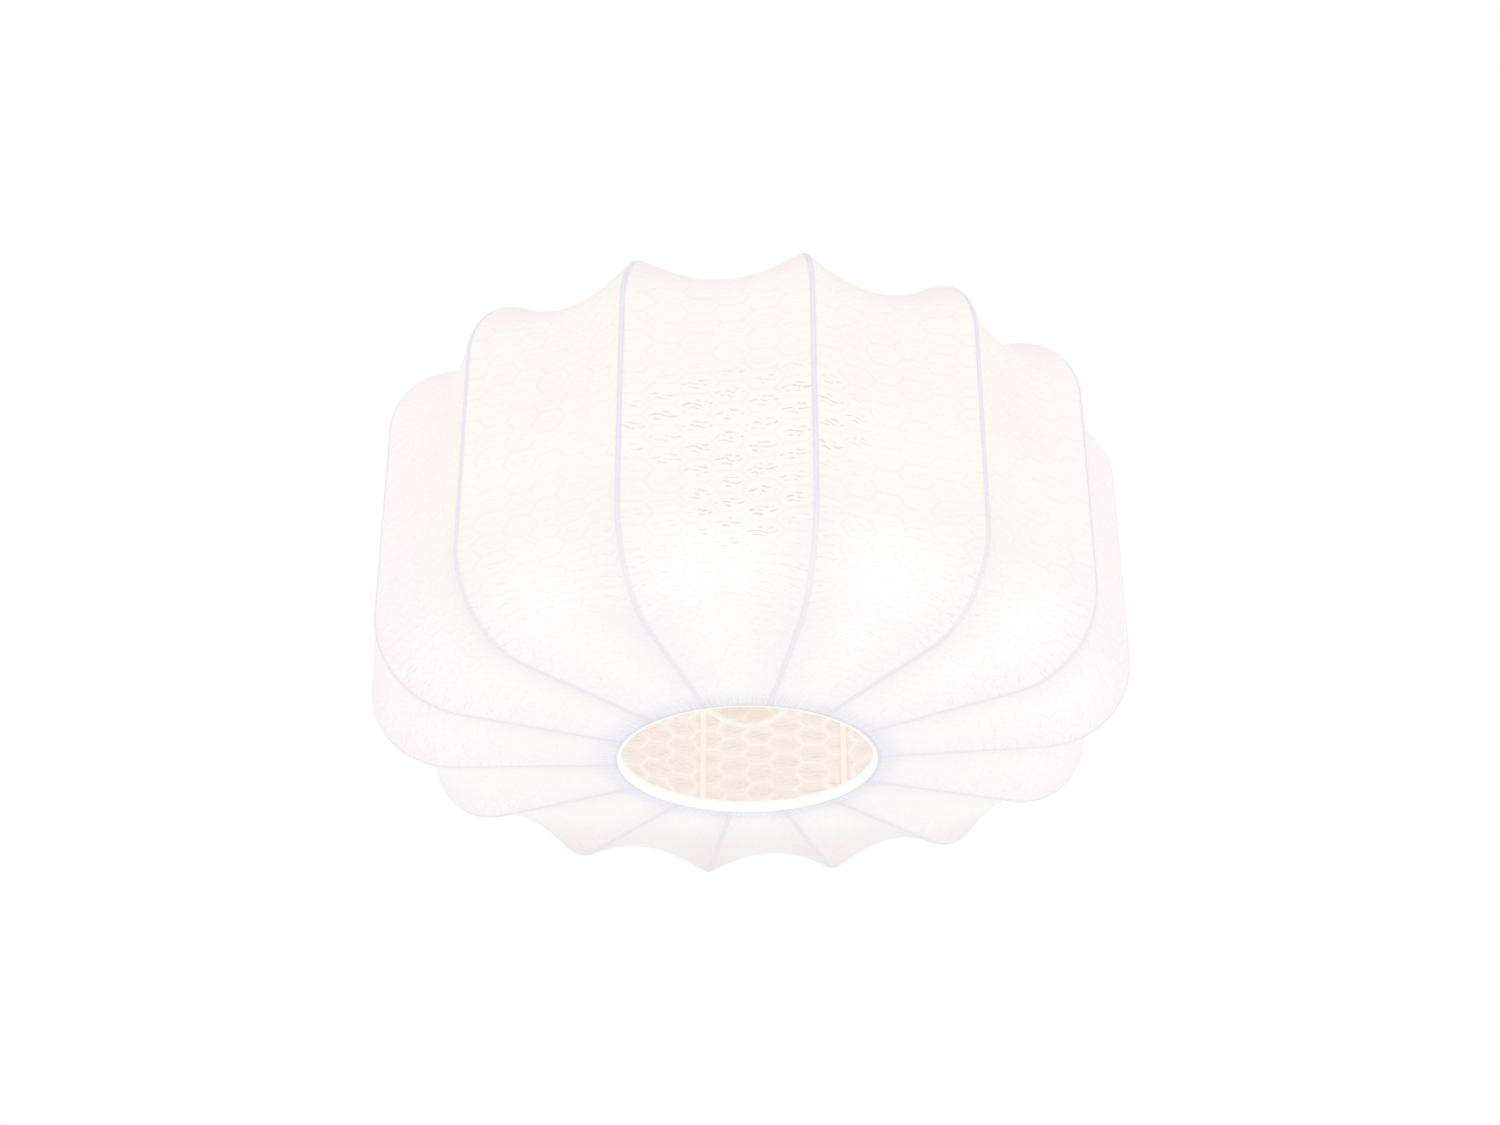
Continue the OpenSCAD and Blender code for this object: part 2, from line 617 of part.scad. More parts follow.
module bottom_hem() {
    color("white") {
        ring(mouth_r, mouth_hoop_r, shade_z, shade_z + cloth_t);
        ring(mouth_r, mouth_r + cloth_t, shade_z + cloth_t, shade_z + cloth_t + hoop_h);
    }
}
module top_hem() {
    top = -ceiling_gap;
    color("white") {
        ring(crown_r, crown_hoop_r, top - cloth_t, top);
        ring(crown_r, crown_r + cloth_t, top - cloth_t - top_hem_h, top - cloth_t);
    }
}

// ---- Bulb ----

glass_r = bulb_d / 2;
globe_z = bulb_foot_z + glass_r;
cap_foot_z = tip_z - 4 - bulb_cap_h;
glass_neck_r = bulb_cap_d / 2 - 0.5;
// The glass leaves its globe at this angle and bends into the neck
shoulder = 35;
function glass_skin(d) =
    let (r = glass_r - d, neck = glass_neck_r - d, p = r * [cos(shoulder), sin(shoulder)],
         knee = [neck, p.y + (p.x - neck) / tan(shoulder)], top = [neck, cap_foot_z - globe_z])
    concat([for (a = [-90 : 6.25 : shoulder]) [r * cos(a), globe_z + r * sin(a)]],
        [for (t = [0.125 : 0.125 : 1])
            let (q = (1 - t) * (1 - t) * p + 2 * t * (1 - t) * knee + t * t * top) [q.x, globe_z + q.y]],
        [[neck, cap_foot_z + 12]]);
module bulb_glass() {
    inner = glass_skin(glass_t);
    color("lightcyan", 0.4) rotate_extrude()
        polygon(concat(glass_skin(0), [for (i = [len(inner) - 1 : -1 : 0]) inner[i]]));
}
module bulb_cap() {
    color("silver") ring(glass_neck_r + 0.1, bulb_cap_d / 2, cap_foot_z, cap_foot_z + bulb_cap_h);
}
module bulb_insulator() {
    top = cap_foot_z + bulb_cap_h;
    color("black") difference() {
        union() {
            translate([0, 0, top - 2]) cylinder(h = 2, r = glass_neck_r + 0.1);
            translate([0, 0, top]) cylinder(h = tip_z - 1.65 - top, r1 = glass_neck_r, r2 = 5.2);
        }
        translate([0, 0, top - 3]) cylinder(h = 8, r = 2 + running_gap);
    }
}
module bulb_tip() {
    color("silver") {
        translate([0, 0, tip_z - 1.6]) cylinder(h = 1.6, r = 4.8);
        translate([0, 0, tip_z - 5.5]) cylinder(h = 4, r = 2);
    }
}
mount_foot_z = cap_foot_z - 20;
module bulb_mount() {
    flare_r = glass_neck_r - glass_t - 0.02;
    top = cap_foot_z + 10;
    color("lightcyan", 0.5) rotate_extrude() polygon([
        [flare_r, top], [flare_r, top - 1], [6, top - 6], [4.2, top - 12], [3.5, top - 18], [3.5, mount_foot_z],
        [0, mount_foot_z - 1.5], [0, top - 20], [2.5, top - 18], [3.2, top - 12], [5, top - 6.4], [flare_r - 1, top]
    ]);
}
filament_r = 11;
filament_z = mount_foot_z - 13;
filament_wire = 0.5;
filament_arc = 300;
module bulb_wires() {
    color("silver") for (i = [0 : 3]) rotate(i * filament_arc / 3 + 30)
        difference() {
            bar([3.5, 0, mount_foot_z + 3], [filament_r, 0, filament_z], 0.4, 24);
            translate([0, 0, mount_foot_z - 1]) cylinder(h = 8, r = 3.5);
            ring(filament_r - filament_wire, filament_r + 3, filament_z - 2, filament_z + 2);
        }
}
module bulb_filament() {
    color("goldenrod") translate([0, 0, filament_z]) rotate(30 - 1) rotate_extrude(angle = filament_arc + 2)
        translate([filament_r, 0]) circle(r = filament_wire, $fn = 24);
}

mounting_bracket();
bracket_studs();
ceiling_cup();
cup_nuts();
terminal_block();
terminal_sleeves();
terminal_screws();
block_screw();
earth_lug();
earth_screw();
stem();
stem_washers();
stem_nuts();
live_lead();
neutral_lead();
earth_lead();
holder_cap();
holder_body();
holder_insert();
holder_shell();
centre_contact();
holder_terminals();
holder_screws();
contact_rivets();
neck_screw();
shade_ring();
fitter_ring();
for (i = [0 : len(ARMS) - 1]) spider_arm(i);
top_hoop();
bottom_hoop();
for (i = [0 : len(RIBS) - 1]) rib(i);
fabric_cover();
top_hem();
bottom_hem();
bulb_glass();
bulb_cap();
bulb_insulator();
bulb_tip();
bulb_mount();
bulb_wires();
bulb_filament();
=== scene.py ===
# %% [markdown]
# # A flush ceiling lantern
# A knitted sleeve is stretched over a cage of fourteen bent wire ribs. The cage hangs
# from a lampholder, on a short hollow stem under a ceiling cup. This file dresses the
# packed solid model: it makes the cloth, the screw threads and the coiled filament that
# the solids only stand for, and gives every piece its finish.
#
# The packed model is loaded first and stays where it is. Everything else takes its place
# from the boxes of the packed pieces, in metres, with the ceiling at height 0.

import math

import bmesh
import bpy
import numpy as np
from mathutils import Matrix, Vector


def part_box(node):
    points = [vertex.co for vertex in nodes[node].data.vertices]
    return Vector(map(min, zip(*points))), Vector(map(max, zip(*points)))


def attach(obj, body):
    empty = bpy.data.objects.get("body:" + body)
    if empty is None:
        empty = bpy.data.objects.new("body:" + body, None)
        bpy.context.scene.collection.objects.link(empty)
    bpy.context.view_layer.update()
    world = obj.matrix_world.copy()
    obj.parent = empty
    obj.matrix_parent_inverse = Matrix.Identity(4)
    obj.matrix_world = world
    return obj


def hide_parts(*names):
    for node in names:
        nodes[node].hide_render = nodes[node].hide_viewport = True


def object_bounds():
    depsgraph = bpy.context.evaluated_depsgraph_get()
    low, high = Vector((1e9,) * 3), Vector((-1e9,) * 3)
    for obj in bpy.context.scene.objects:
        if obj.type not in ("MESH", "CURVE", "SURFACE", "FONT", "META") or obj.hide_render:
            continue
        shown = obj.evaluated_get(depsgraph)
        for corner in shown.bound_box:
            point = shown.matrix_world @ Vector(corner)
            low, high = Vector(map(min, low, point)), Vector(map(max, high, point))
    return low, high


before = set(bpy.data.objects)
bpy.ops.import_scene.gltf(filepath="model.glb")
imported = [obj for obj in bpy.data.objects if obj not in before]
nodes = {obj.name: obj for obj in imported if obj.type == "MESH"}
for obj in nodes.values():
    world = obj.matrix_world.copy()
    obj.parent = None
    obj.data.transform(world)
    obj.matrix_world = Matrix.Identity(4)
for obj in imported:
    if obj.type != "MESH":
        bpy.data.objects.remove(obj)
cad_low, cad_high = [list(map(float, corner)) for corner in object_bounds()]
ribs = sorted(name for name in nodes if name.startswith("rib_"))
arms = sorted(name for name in nodes if name.startswith("spider_arm"))
print("solid model from", [round(v, 4) for v in cad_low], "to", [round(v, 4) for v in cad_high])

# %% [markdown]
# ## Camera
# The lantern hangs above eye level, so the camera stands lower than the shade and looks up at it. A short
# lens close by would swell the near side of the shade and shrink the far side, so a long one is used from
# further off, as the eye sees a lamp from across a room. The camera has no shift and no blur.

# %% Set up the camera
CAMERA_PLACE = (0, -1.3317, -0.8078)
CAMERA_TURN = (118.0366, 0.2062, 0.0358)
LENS = 67.49

camera_data = bpy.data.cameras.new("camera")
camera_data.sensor_width = 36
camera_data.lens = LENS
camera = bpy.data.objects.new("camera", camera_data)
camera.location = CAMERA_PLACE
camera.rotation_euler = [math.radians(a) for a in CAMERA_TURN]
bpy.context.scene.collection.objects.link(camera)
bpy.context.scene.camera = camera
print("camera", round(camera.location.length, 3), "m from the ceiling point")

# %% [markdown]
# ## Writing a finish as a sum
# A procedural finish is a net of small nodes. Wired one at a time, even a short formula
# fills a page, so here it is written as an ordinary sum. A Term wraps one socket, and an
# operator on it adds one Math node and gives back the Term of the result. The reflected
# forms let a plain number stand first, as in 1 - mask.

# %% Shader arithmetic
class Term:
    """A shader socket that can stand in a Python sum."""

    def __init__(self, finish, socket):
        self.finish, self.socket = finish, socket

    def __add__(self, other):
        return self.finish.math("ADD", self, other)

    __radd__ = __add__

    def __sub__(self, other):
        return self.finish.math("SUBTRACT", self, other)

    def __rsub__(self, other):
        return self.finish.math("SUBTRACT", other, self)

    def __mul__(self, other):
        return self.finish.math("MULTIPLY", self, other)

    __rmul__ = __mul__

    def __truediv__(self, other):
        return self.finish.math("DIVIDE", self, other)


print("a Term answers to", sorted(name for name in vars(Term) if callable(getattr(Term, name))))

# %% [markdown]
# ## Filling a node tree
# A Finish holds the node tree of one material. Its method node adds any kind of node, and
# the other methods are short ways to the kinds that come back again and again. A Math
# node turns a colour grey, so colours are blended with Mix nodes.


# %% The nodes of a finish
class Finish:
    """The node tree of one material or of the world, with short ways to fill it."""

    def __init__(self, name, owner=None):
        self.material = owner or bpy.data.materials.new(name)
        self.material.use_nodes = True
        self.tree = self.material.node_tree
        self.tree.nodes.clear()

    def node(self, kind, settings=None, values=None):
        """One node: its settings are set first, then its sockets by name or number."""
        made = self.tree.nodes.new(kind)
        for key, value in (settings or {}).items():
            if key == "stops":
                for n, (place, colour) in enumerate(value):
                    stop = made.color_ramp.elements[n] if n < 2 else made.color_ramp.elements.new(place)
                    stop.position, stop.color = place, (*colour, 1)
            else:
                setattr(made, key, value)
        for key, value in (values or {}).items():
            if isinstance(value, Term):
                self.tree.links.new(value.socket, made.inputs[key])
            else:
                made.inputs[key].default_value = value
        return made

    def term(self, kind, settings=None, values=None, output=0):
        """One output of a new node."""
        return Term(self, self.node(kind, settings, values).outputs[output])

    def math(self, operation, *terms):
        """One Math node."""
        return self.term("ShaderNodeMath", {"operation": operation}, dict(enumerate(terms)))

    def step(self, value, start, end):
        """0 before start, 1 after end, and a smooth rise between them."""
        settings = {"interpolation_type": "SMOOTHSTEP"}
        return self.term("ShaderNodeMapRange", settings, {0: value, 1: start, 2: end, 3: 0.0, 4: 1.0})

    def mix(self, factor, first, second):
        """A colour between two colours."""
        ends = [(*c, 1) if isinstance(c, tuple) and len(c) == 3 else c for c in (first, second)]
        return self.term("ShaderNodeMix", {"data_type": "RGBA"}, {0: factor, 6: ends[0], 7: ends[1]}, 2)

    def place(self):
        """The point in the piece's own space, in metres."""
        return self.term("ShaderNodeTexCoord", output="Object")

    def coordinates(self):
        """The three numbers of that point."""
        return [self.term("ShaderNodeSeparateXYZ", None, {0: self.place()}, axis) for axis in range(3)]

    def stored(self, name):
        """A number that was stored at each point of the mesh."""
        return self.term("ShaderNodeAttribute", {"attribute_name": name}, output="Fac")

    def noise(self, scale, detail=3.0, at=None):
        """Soft random clouds; a larger scale makes them finer."""
        values = {"Scale": scale, "Detail": detail, "Vector": at or self.place()}
        return self.term("ShaderNodeTexNoise", None, values)

    def noise_along(self, value):
        """Noise that changes with one number only."""
        return self.noise(1.0, 2.0, self.term("ShaderNodeCombineXYZ", None, {0: value, 1: 0.0, 2: 0.0}))

    def bump(self, height, distance, strength):
        """Relief, for the Normal socket."""
        values = {"Height": height, "Distance": distance, "Strength": strength}
        return self.term("ShaderNodeBump", None, values)

    def surface(self, values):
        """The Principled shader and the output."""
        shader = self.term("ShaderNodeBsdfPrincipled", None, values)
        self.node("ShaderNodeOutputMaterial", None, {0: shader})
        return self.material


print("a Finish can add", [name for name in vars(Finish) if not name.startswith("_")])

# %% [markdown]
# ## Room and light
# White cloth shows its shape only through small differences in light. One strong lamp
# would drown them, so an even pale sky gives most of the light and three large soft
# lamps add a little direction. The sky is plain white where the camera, a mirror or
# glass looks at it, and somewhat dimmer as a light, so the cloth stays below pure white.
# The Standard view shows a colour about as it is written.

# %% Light the room
SKY_LIGHT = 0.84

world = bpy.data.worlds.new("pale_sky")
bpy.context.scene.world = world
sky = Finish("pale_sky", world)
rays = sky.node("ShaderNodeLightPath")
seen = sky.math("MAXIMUM", Term(sky, rays.outputs["Is Camera Ray"]), Term(sky, rays.outputs["Is Glossy Ray"]))
seen = sky.math("MAXIMUM", seen, Term(sky, rays.outputs["Is Transmission Ray"]))
strength = SKY_LIGHT + (1 - SKY_LIGHT) * seen
background = sky.term("ShaderNodeBackground", None, {0: (1, 1, 1, 1), 1: strength})
sky.node("ShaderNodeOutputWorld", None, {0: background})


def soft_lamp(name, place, size, power):
    """A round lamp that faces the middle of the lantern."""
    data = bpy.data.lights.new(name, "AREA")
    data.shape, data.size, data.energy = "DISK", size, power
    lamp = bpy.data.objects.new(name, data)
    lamp.location = place
    target = Vector((0, 0, cad_low[2] / 2))
    lamp.rotation_euler = (target - Vector(place)).to_track_quat("-Z", "Y").to_euler()
    bpy.context.scene.collection.objects.link(lamp)
    print(name, "of", power, "W,", round((target - Vector(place)).length, 2), "m away")


soft_lamp("lamp_front", (-0.5, -1.7, -1.9), 1.6, 8)
soft_lamp("lamp_right", (2.1, -0.2, -1.3), 1.4, 4)
soft_lamp("lamp_back", (-1.3, 1.7, -0.6), 1.4, 1.5)
bpy.context.scene.view_settings.view_transform = "Standard"

# %% [markdown]
# ## Floor
# The floor lies a room's height below the ceiling, where it catches the lantern's soft
# shadow. A pale grey floor would draw a horizon against the white sky. A stronger lamp
# could whiten it, but would bleach the cloth too, so the floor's material adds a little
# brightness that only the camera sees.

# %% Lay the floor
FLOOR_HEIGHT = -2.4
FLOOR_REACH = 40
SEEN_WHITENING = (0.14, 0.14, 0.14)

floor_mesh = bmesh.new()
bmesh.ops.create_grid(floor_mesh, x_segments=8, y_segments=8, size=FLOOR_REACH)
data = bpy.data.meshes.new("floor")
floor_mesh.to_mesh(data)
floor_mesh.free()
floor = bpy.data.objects.new("floor", data)
floor.location.z = FLOOR_HEIGHT
bpy.context.scene.collection.objects.link(floor)
plaster = Finish("pale_floor")
pale = plaster.mix(plaster.noise(1.5, 4), (0.88, 0.88, 0.88), (0.92, 0.92, 0.92))
straight_look = plaster.term("ShaderNodeLightPath", output="Is Camera Ray")
data.materials.append(plaster.surface({
    "Base Color": pale, "Roughness": 0.8,
    "Emission Color": plaster.mix(straight_look, (0, 0, 0), SEEN_WHITENING), "Emission Strength": 1.0}))
print("floor", -FLOOR_HEIGHT, "m below the ceiling; sky light", SKY_LIGHT)

# %% [markdown]
# ## The cover: reading the cage
# The sleeve touches the cage only at the ribs and at the two hoops, so the first step is
# to find out where those are. Each rib is a bent wire in an upright plane through the
# axis. Its azimuth could be written down again here, but it is read from the rib itself:
# the mean of its points gives the plane. The outline that all ribs share has two sharp
# corners, at the foot and at the head of the wall, which the wire rounds off.

# %% Find the ribs and the outline
WIRE = 0.0032  # across, with its coat
CLOTH = 0.0008  # thick
FOOT_CORNER = Vector((0.2006, 0.0036))  # radius, and height above the lowest cloth
HEAD_CORNER = Vector((0.1976, 0.0014))  # radius, and height above the highest cloth

shade_low, shade_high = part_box("bottom_hem")[0].z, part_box("top_hem")[1].z
mouth_hoop, crown_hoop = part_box("bottom_hoop")[1].x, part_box("top_hoop")[1].x


def azimuth(name):
    """The direction from the axis to a rib."""
    mean = sum((v.co for v in nodes[name].data.vertices), Vector())
    return math.atan2(mean.y, mean.x)


rib_angles = sorted(azimuth(name) % math.tau for name in ribs)
outline = [
    Vector((mouth_hoop, shade_low)), Vector((FOOT_CORNER.x, shade_low + FOOT_CORNER.y)),
    Vector((HEAD_CORNER.x, shade_high + HEAD_CORNER.y)), Vector((crown_hoop, shade_high))]
print("ribs at", [round(math.degrees(a), 1) for a in rib_angles])

# %% [markdown]
# ## The cover: its outline
# A string of points runs from the mouth along the underside, round the lower bend, up the
# side, round the upper bend and over the top. A spline through a few points would be
# shorter to write, but it bulges beside a bend. Straight lines and true arcs are what
# bent wire has, so the outline is made of those. Points lie about 2.5 mm apart, close
# enough for the bends to look round, and each keeps the direction that points inward.

# %% Trace the outline
FOOT_BEND, HEAD_BEND = 0.048, 0.045  # radii of the lower and the upper bend
STEP = 0.0026


def rounded(corner_before, corner, corner_after, radius):
    """Points and inward directions round one corner."""
    before, after = (corner - corner_before).normalized(), (corner_after - corner).normalized()
    turn = before.angle(after)
    inward = Vector((-before.y, before.x))
    centre = corner - before * radius * math.tan(turn / 2) + inward * radius
    steps = max(4, round(turn * radius / STEP))
    found = []
    for k in range(steps + 1):
        a = turn * k / steps
        out = -inward * math.cos(a) + before * math.sin(a)
        found.append((centre + out * radius, -out))
    return found


def straight(first, last):
    """Points and inward directions along a line, without its two ends."""
    along = (last - first).normalized()
    steps = max(2, round((last - first).length / STEP))
    return [(first.lerp(last, k / steps), Vector((-along.y, along.x))) for k in range(1, steps)]


foot, head = rounded(*outline[:3], FOOT_BEND), rounded(*outline[1:], HEAD_BEND)
path = [(outline[0], foot[0][1])] + straight(outline[0], foot[0][0]) + foot
path += straight(foot[-1][0], head[0][0]) + head
path += straight(head[-1][0], outline[3]) + [(outline[3], head[-1][1])]
path_points = np.array([point for point, inward in path])
path_inward = np.array([inward for point, inward in path])
along = np.concatenate([[0], np.cumsum(np.linalg.norm(np.diff(path_points, axis=0), axis=1))])
print(len(path), "points over", round(along[-1] * 1000), "mm of cover from the mouth to the crown")

# %% [markdown]
# ## The cover: how it sinks between the ribs
# A stretched sleeve pulls straight where it can, so between two ribs it sinks below the
# circle that the ribs lie on. It sinks most at the two bends, where it is pulled both
# round the cage and over the corner, and not at all at the hoops. A cloth simulation
# would find this shape too, slowly and a little differently for each mesh. A stretched
# sleeve has no folds to find, so the depth is given at a few places along the outline
# and blended between them.

# %% Depth of the sag along the outline
FOOT_SAG, WALL_SAG, HEAD_SAG = 0.011, 0.008, 0.014
SMOOTHINGS = 12


def way_to(point):
    """The way along the outline from the mouth to one of its points."""
    return along[np.argmin(np.abs(path_points - np.array(point)).sum(1))]


foot_start, foot_end = way_to(foot[0][0]), way_to(foot[-1][0])
head_start, head_end = way_to(head[0][0]), way_to(head[-1][0])
sag_at = {
    0: 0, foot_start / 2: FOOT_SAG / 3, foot_start: FOOT_SAG, foot_end: FOOT_SAG,
    (foot_end + head_start) / 2: WALL_SAG, head_start: HEAD_SAG, head_end: HEAD_SAG, along[-1]: 0}
sag = np.interp(along, list(sag_at), list(sag_at.values()))
for _ in range(SMOOTHINGS):
    sag[1:-1] = sag[1:-1] / 2 + (sag[:-2] + sag[2:]) / 4
print("deepest sag", round(sag.max() * 1000, 1), "mm")

# %% [markdown]
# ## The cover: its columns
# The columns of the mesh run from the mouth to the crown. Evenly spaced columns would
# have to be very many to bend sharply round a wire, so they stand close together at a
# rib and wider apart in the middle of a panel. For each column, u is its place in its
# panel: 0 on one rib and 1 on the next.

# %% Space the columns
NEAR_RIB = [0, 0.00055, 0.0011, 0.0018, 0.0028, 0.0042, 0.0062]  # metres from a rib, at the wall
WALL_RADIUS = 0.2
PANEL_COLUMNS = 27  # over the rest of a panel, counting the near one at either end

column_angles, column_u = [], []
for i, start in enumerate(rib_angles):
    end = rib_angles[(i + 1) % len(rib_angles)]
    width = (end - start) % math.tau
    close = [d / (WALL_RADIUS * width) for d in NEAR_RIB]
    wide = list(np.linspace(close[-1], 1 - close[-1], PANEL_COLUMNS)[1:-1])
    for u in close + wide + [1 - c for c in close[:0:-1]]:
        column_angles.append(start + u * width)
        column_u.append((u, width))
angles = np.array(column_angles)
u, widths = np.array(column_u).T
rows, columns = len(path), len(angles)
print(rows, "rows of", columns, "columns")

# %% [markdown]
# ## The cover: its outer skin
# A parabola gives the sag between two ribs. The sharp ridge that two parabolas make is
# rounded to the wire's own radius by measuring the distance from the rib as
# sqrt(d² + c²) - c in place of d.

# %% Build the outer skin
RIDGE = WIRE / 2 + CLOTH + 0.00015  # the wire's radius, the cloth and a little air

radius_at = path_points[:, :1]
span = radius_at * widths[None, :]
distance = span * np.minimum(u, 1 - u)[None, :]
rounding = np.maximum(4 * sag[:, None] / span * RIDGE, 1e-6)
eased = np.sqrt(distance**2 + rounding**2) - rounding
q = eased / (2 * (np.sqrt(span**2 / 4 + rounding**2) - rounding))
sunk = 4 * q * (1 - q)
depth = 4 * sag[:, None] * q * (1 - q)

skin_radius = radius_at + path_inward[:, :1] * depth
skin_height = path_points[:, 1:] + path_inward[:, 1:] * depth
outer = np.stack([skin_radius * np.cos(angles), skin_radius * np.sin(angles), skin_height], axis=-1)
print("the skin is", round(2 * skin_radius.max() * 1000), "mm wide over the ribs")

# %% [markdown]
# ## The cover: one closed cloth
# The Solidify modifier could thicken the skin and give its inner side a second material.
# With the points already in an array it is as short to make the inner skin outright, one
# cloth's thickness inside the outer one along the outer skin's own normals, and the mesh
# is final as it stands. Both skins and the two edges between them make one closed mesh.


# %% Close the cover with its inner skin
def grid_normals(grid):
    """The outward direction at each point of a skin."""
    across = np.roll(grid, -1, axis=1) - np.roll(grid, 1, axis=1)
    up = np.gradient(grid, axis=0)
    normal = np.cross(across, up)
    return normal / np.linalg.norm(normal, axis=-1, keepdims=True)


def grid_faces(rows, columns, closed=False):
    """Faces between rows of points. Each row closes on itself, and the rows too if closed."""
    return np.array([
        [j * columns + k, j * columns + (k + 1) % columns,
         (j + 1) % rows * columns + (k + 1) % columns, (j + 1) % rows * columns + k]
        for j in range(rows if closed else rows - 1) for k in range(columns)])


def mesh_object(name, points, faces):
    """A smooth mesh object from lists of points and faces."""
    made = bpy.data.meshes.new(name)
    made.from_pydata(points, [], faces)
    made.polygons.foreach_set("use_smooth", [True] * len(made.polygons))
    made.update()
    piece = bpy.data.objects.new(name, made)
    bpy.context.scene.collection.objects.link(piece)
    return piece


TURNED_OVER = [0, 3, 2, 1]  # the order of a face's corners that makes it look the other way

inner = outer - grid_normals(outer) * CLOTH
points = np.concatenate([outer.reshape(-1, 3), inner.reshape(-1, 3)])
n = rows * columns
outer_faces = grid_faces(rows, columns)
inner_faces = outer_faces[:, TURNED_OVER] + n
edge = np.arange(columns)
follow = (edge + 1) % columns
last = (rows - 1) * columns
mouth_edge = np.stack([edge, edge + n, follow + n, follow], -1)
crown_edge = np.stack([last + edge, last + follow, last + follow + n, last + edge + n], -1)
faces = np.concatenate([outer_faces, mouth_edge, crown_edge, inner_faces])
cover = mesh_object("knit_cover", points.tolist(), faces.tolist())
print("cover mesh of", len(faces), "faces")

# %% [markdown]
# ## The cover: what its finish needs to know
# The finish draws the knit and the lines over the ribs with three numbers that only the
# maker of the mesh knows: the way along the outline, the distance from the nearest rib
# and how far a point is sunk in its panel. They are stored at each point. The sleeve
# rolled out flat is stored too, as a map for anyone who wants to print on the cloth.
# Where a face crosses the seam, its last corners take the far side of the map.


# %% Store the numbers and the flat map
def store(piece, name, values):
    """One number at each point, for the finish to read."""
    layer = piece.data.attributes.new(name, "FLOAT", "POINT")
    layer.data.foreach_set("value", np.asarray(values, np.float32).ravel())


store(cover, "along", np.tile(np.repeat(along, columns), 2))
store(cover, "rib_distance", np.tile(distance.ravel(), 2))
store(cover, "sunk", np.tile(sunk.ravel(), 2))

SIDE_MARGIN, END_MARGIN = 0.01, 0.02
flat_map = cover.data.uv_layers.new(name="flat_pattern")
across_map = faces.ravel() % columns
up_map = faces.ravel() % n // columns / (rows - 1)
spans_seam = np.repeat(np.ptp(faces % columns, axis=1) > 1, 4)
across_map = np.where(spans_seam & (across_map == 0), columns, across_map) / columns
across_map = across_map * (1 - 2 * SIDE_MARGIN) + SIDE_MARGIN
up_map = up_map * (1 - 2 * END_MARGIN) + END_MARGIN
flat_map.data.foreach_set("uv", np.stack([across_map, up_map], -1).ravel())
print("three numbers at each of", len(cover.data.vertices), "points, and a flat map of", len(faces), "faces")

# %% [markdown]
# ## The cover: its honeycomb
# The cloth is a thin white stretch knit with a honeycomb relief: rows of flat hexagons
# with thin raised borders, and a cluster of loose stitches in the middle of each. An
# image of the cloth would repeat and blur, and modelled stitches would be far too many
# faces. So the honeycomb is worked out from the azimuth and from the way along the
# outline. The hexagon distance of a point is 0 in the middle of its cell and 1 on the
# border. Two rectangular lattices hold all the cells' middles between them, and the
# smaller of their two distances wins.

# %% Draw the honeycomb
CELLS_AROUND = 78
CELL_HEIGHT = 0.012
ROOT3 = math.sqrt(3)
FRONT = -CELLS_AROUND / 4  # the front of the lantern, counted in cells round the sleeve


def honeycomb(finish):
    """Masks of the knit: cell borders, loose stitches and fine wales, and where a point is."""
    x, y, height = finish.coordinates()
    length = finish.stored("along")
    turn = finish.math("ARCTAN2", y, x) * (CELLS_AROUND / math.tau)
    # the whole pattern wanders a little, as a stretched knit does
    wander = (finish.noise(22.0, 2.0) - 0.5) * 0.6
    across, up = turn * 1.5 + wander, length * (ROOT3 / CELL_HEIGHT) + wander

    def uneven(across_scale, up_scale, seed):
        """Noise of its own fineness across and up the cloth."""
        at = {0: turn * across_scale, 1: length * up_scale, 2: seed}
        return finish.noise(1.0, 2.0, finish.term("ShaderNodeCombineXYZ", None, at))

    def cell(shift_across, shift_up):
        """The place inside a cell of one lattice, and its hexagon distance."""
        p = finish.math("FLOORED_MODULO", across + shift_across, 3.0) - 1.5
        r = finish.math("FLOORED_MODULO", up + shift_up, ROOT3) - ROOT3 / 2
        steep, flat = finish.math("ABSOLUTE", p), finish.math("ABSOLUTE", r)
        reach = finish.math("MAXIMUM", flat, steep * (ROOT3 / 2) + flat * 0.5) / (ROOT3 / 2)
        return p, r, reach

    one, two = cell(0.0, 0.0), cell(1.5, ROOT3 / 2)
    nearer = finish.math("LESS_THAN", one[2], two[2])
    p, r, reach = (b + nearer * (a - b) for a, b in zip(one, two))
    # a border is the outermost part of a cell, worn thin in places
    border = finish.step(reach, 0.86, 0.98) * finish.step(uneven(3.0, 180.0, 1.0), 0.30, 0.55)
    # loose stitches are bowed rows inside an oval in the middle of a cell, broken at random
    middle = finish.step(p * p * 1.7 + r * r * 5.0, 1.0, 0.6)
    bow = r + 0.10 * finish.math("SINE", p * 5.0) + 0.35 * (uneven(3.0, 500.0, 5.0) - 0.5)
    stitch_rows = finish.step(finish.math("COSINE", bow * 17.0), 0.35, 0.95)
    unbroken = finish.step(uneven(4.2, 600.0, 9.0), 0.40, 0.55)
    return {
        "border": border, "middle": middle, "stitches": middle * stitch_rows * unbroken,
        "wales": uneven(14.0, 160.0, 3.0), "x": x, "y": y, "height": height, "length": length, "turn": turn}


print(CELLS_AROUND, "cells of", round(math.tau * WALL_RADIUS / CELLS_AROUND * 1000, 1), "mm round the wall")

# %% [markdown]
# ## The cover outside: painted light by height
# The lantern is lit and hangs in a white room, so one flat white would look like paper. The white cloth is
# painted with the light that it shows: cream on the wall, where the bulb shines through, pinker at the crown
# and cooler on the underside, which faces down into shade. A ramp over the height gives that. The two sides
# of the wall are painted a little cooler, as shade, and so is the back of the underside.

# %% Ground colour of the outside, with painted light and shade
SIDE_SHADE = (0.130, 0.175)  # from the middle plane: where the painted side shade begins, and where it is full
BACK_SHADE = (0.085, 0.140)  # the same for the painted shade behind the axis
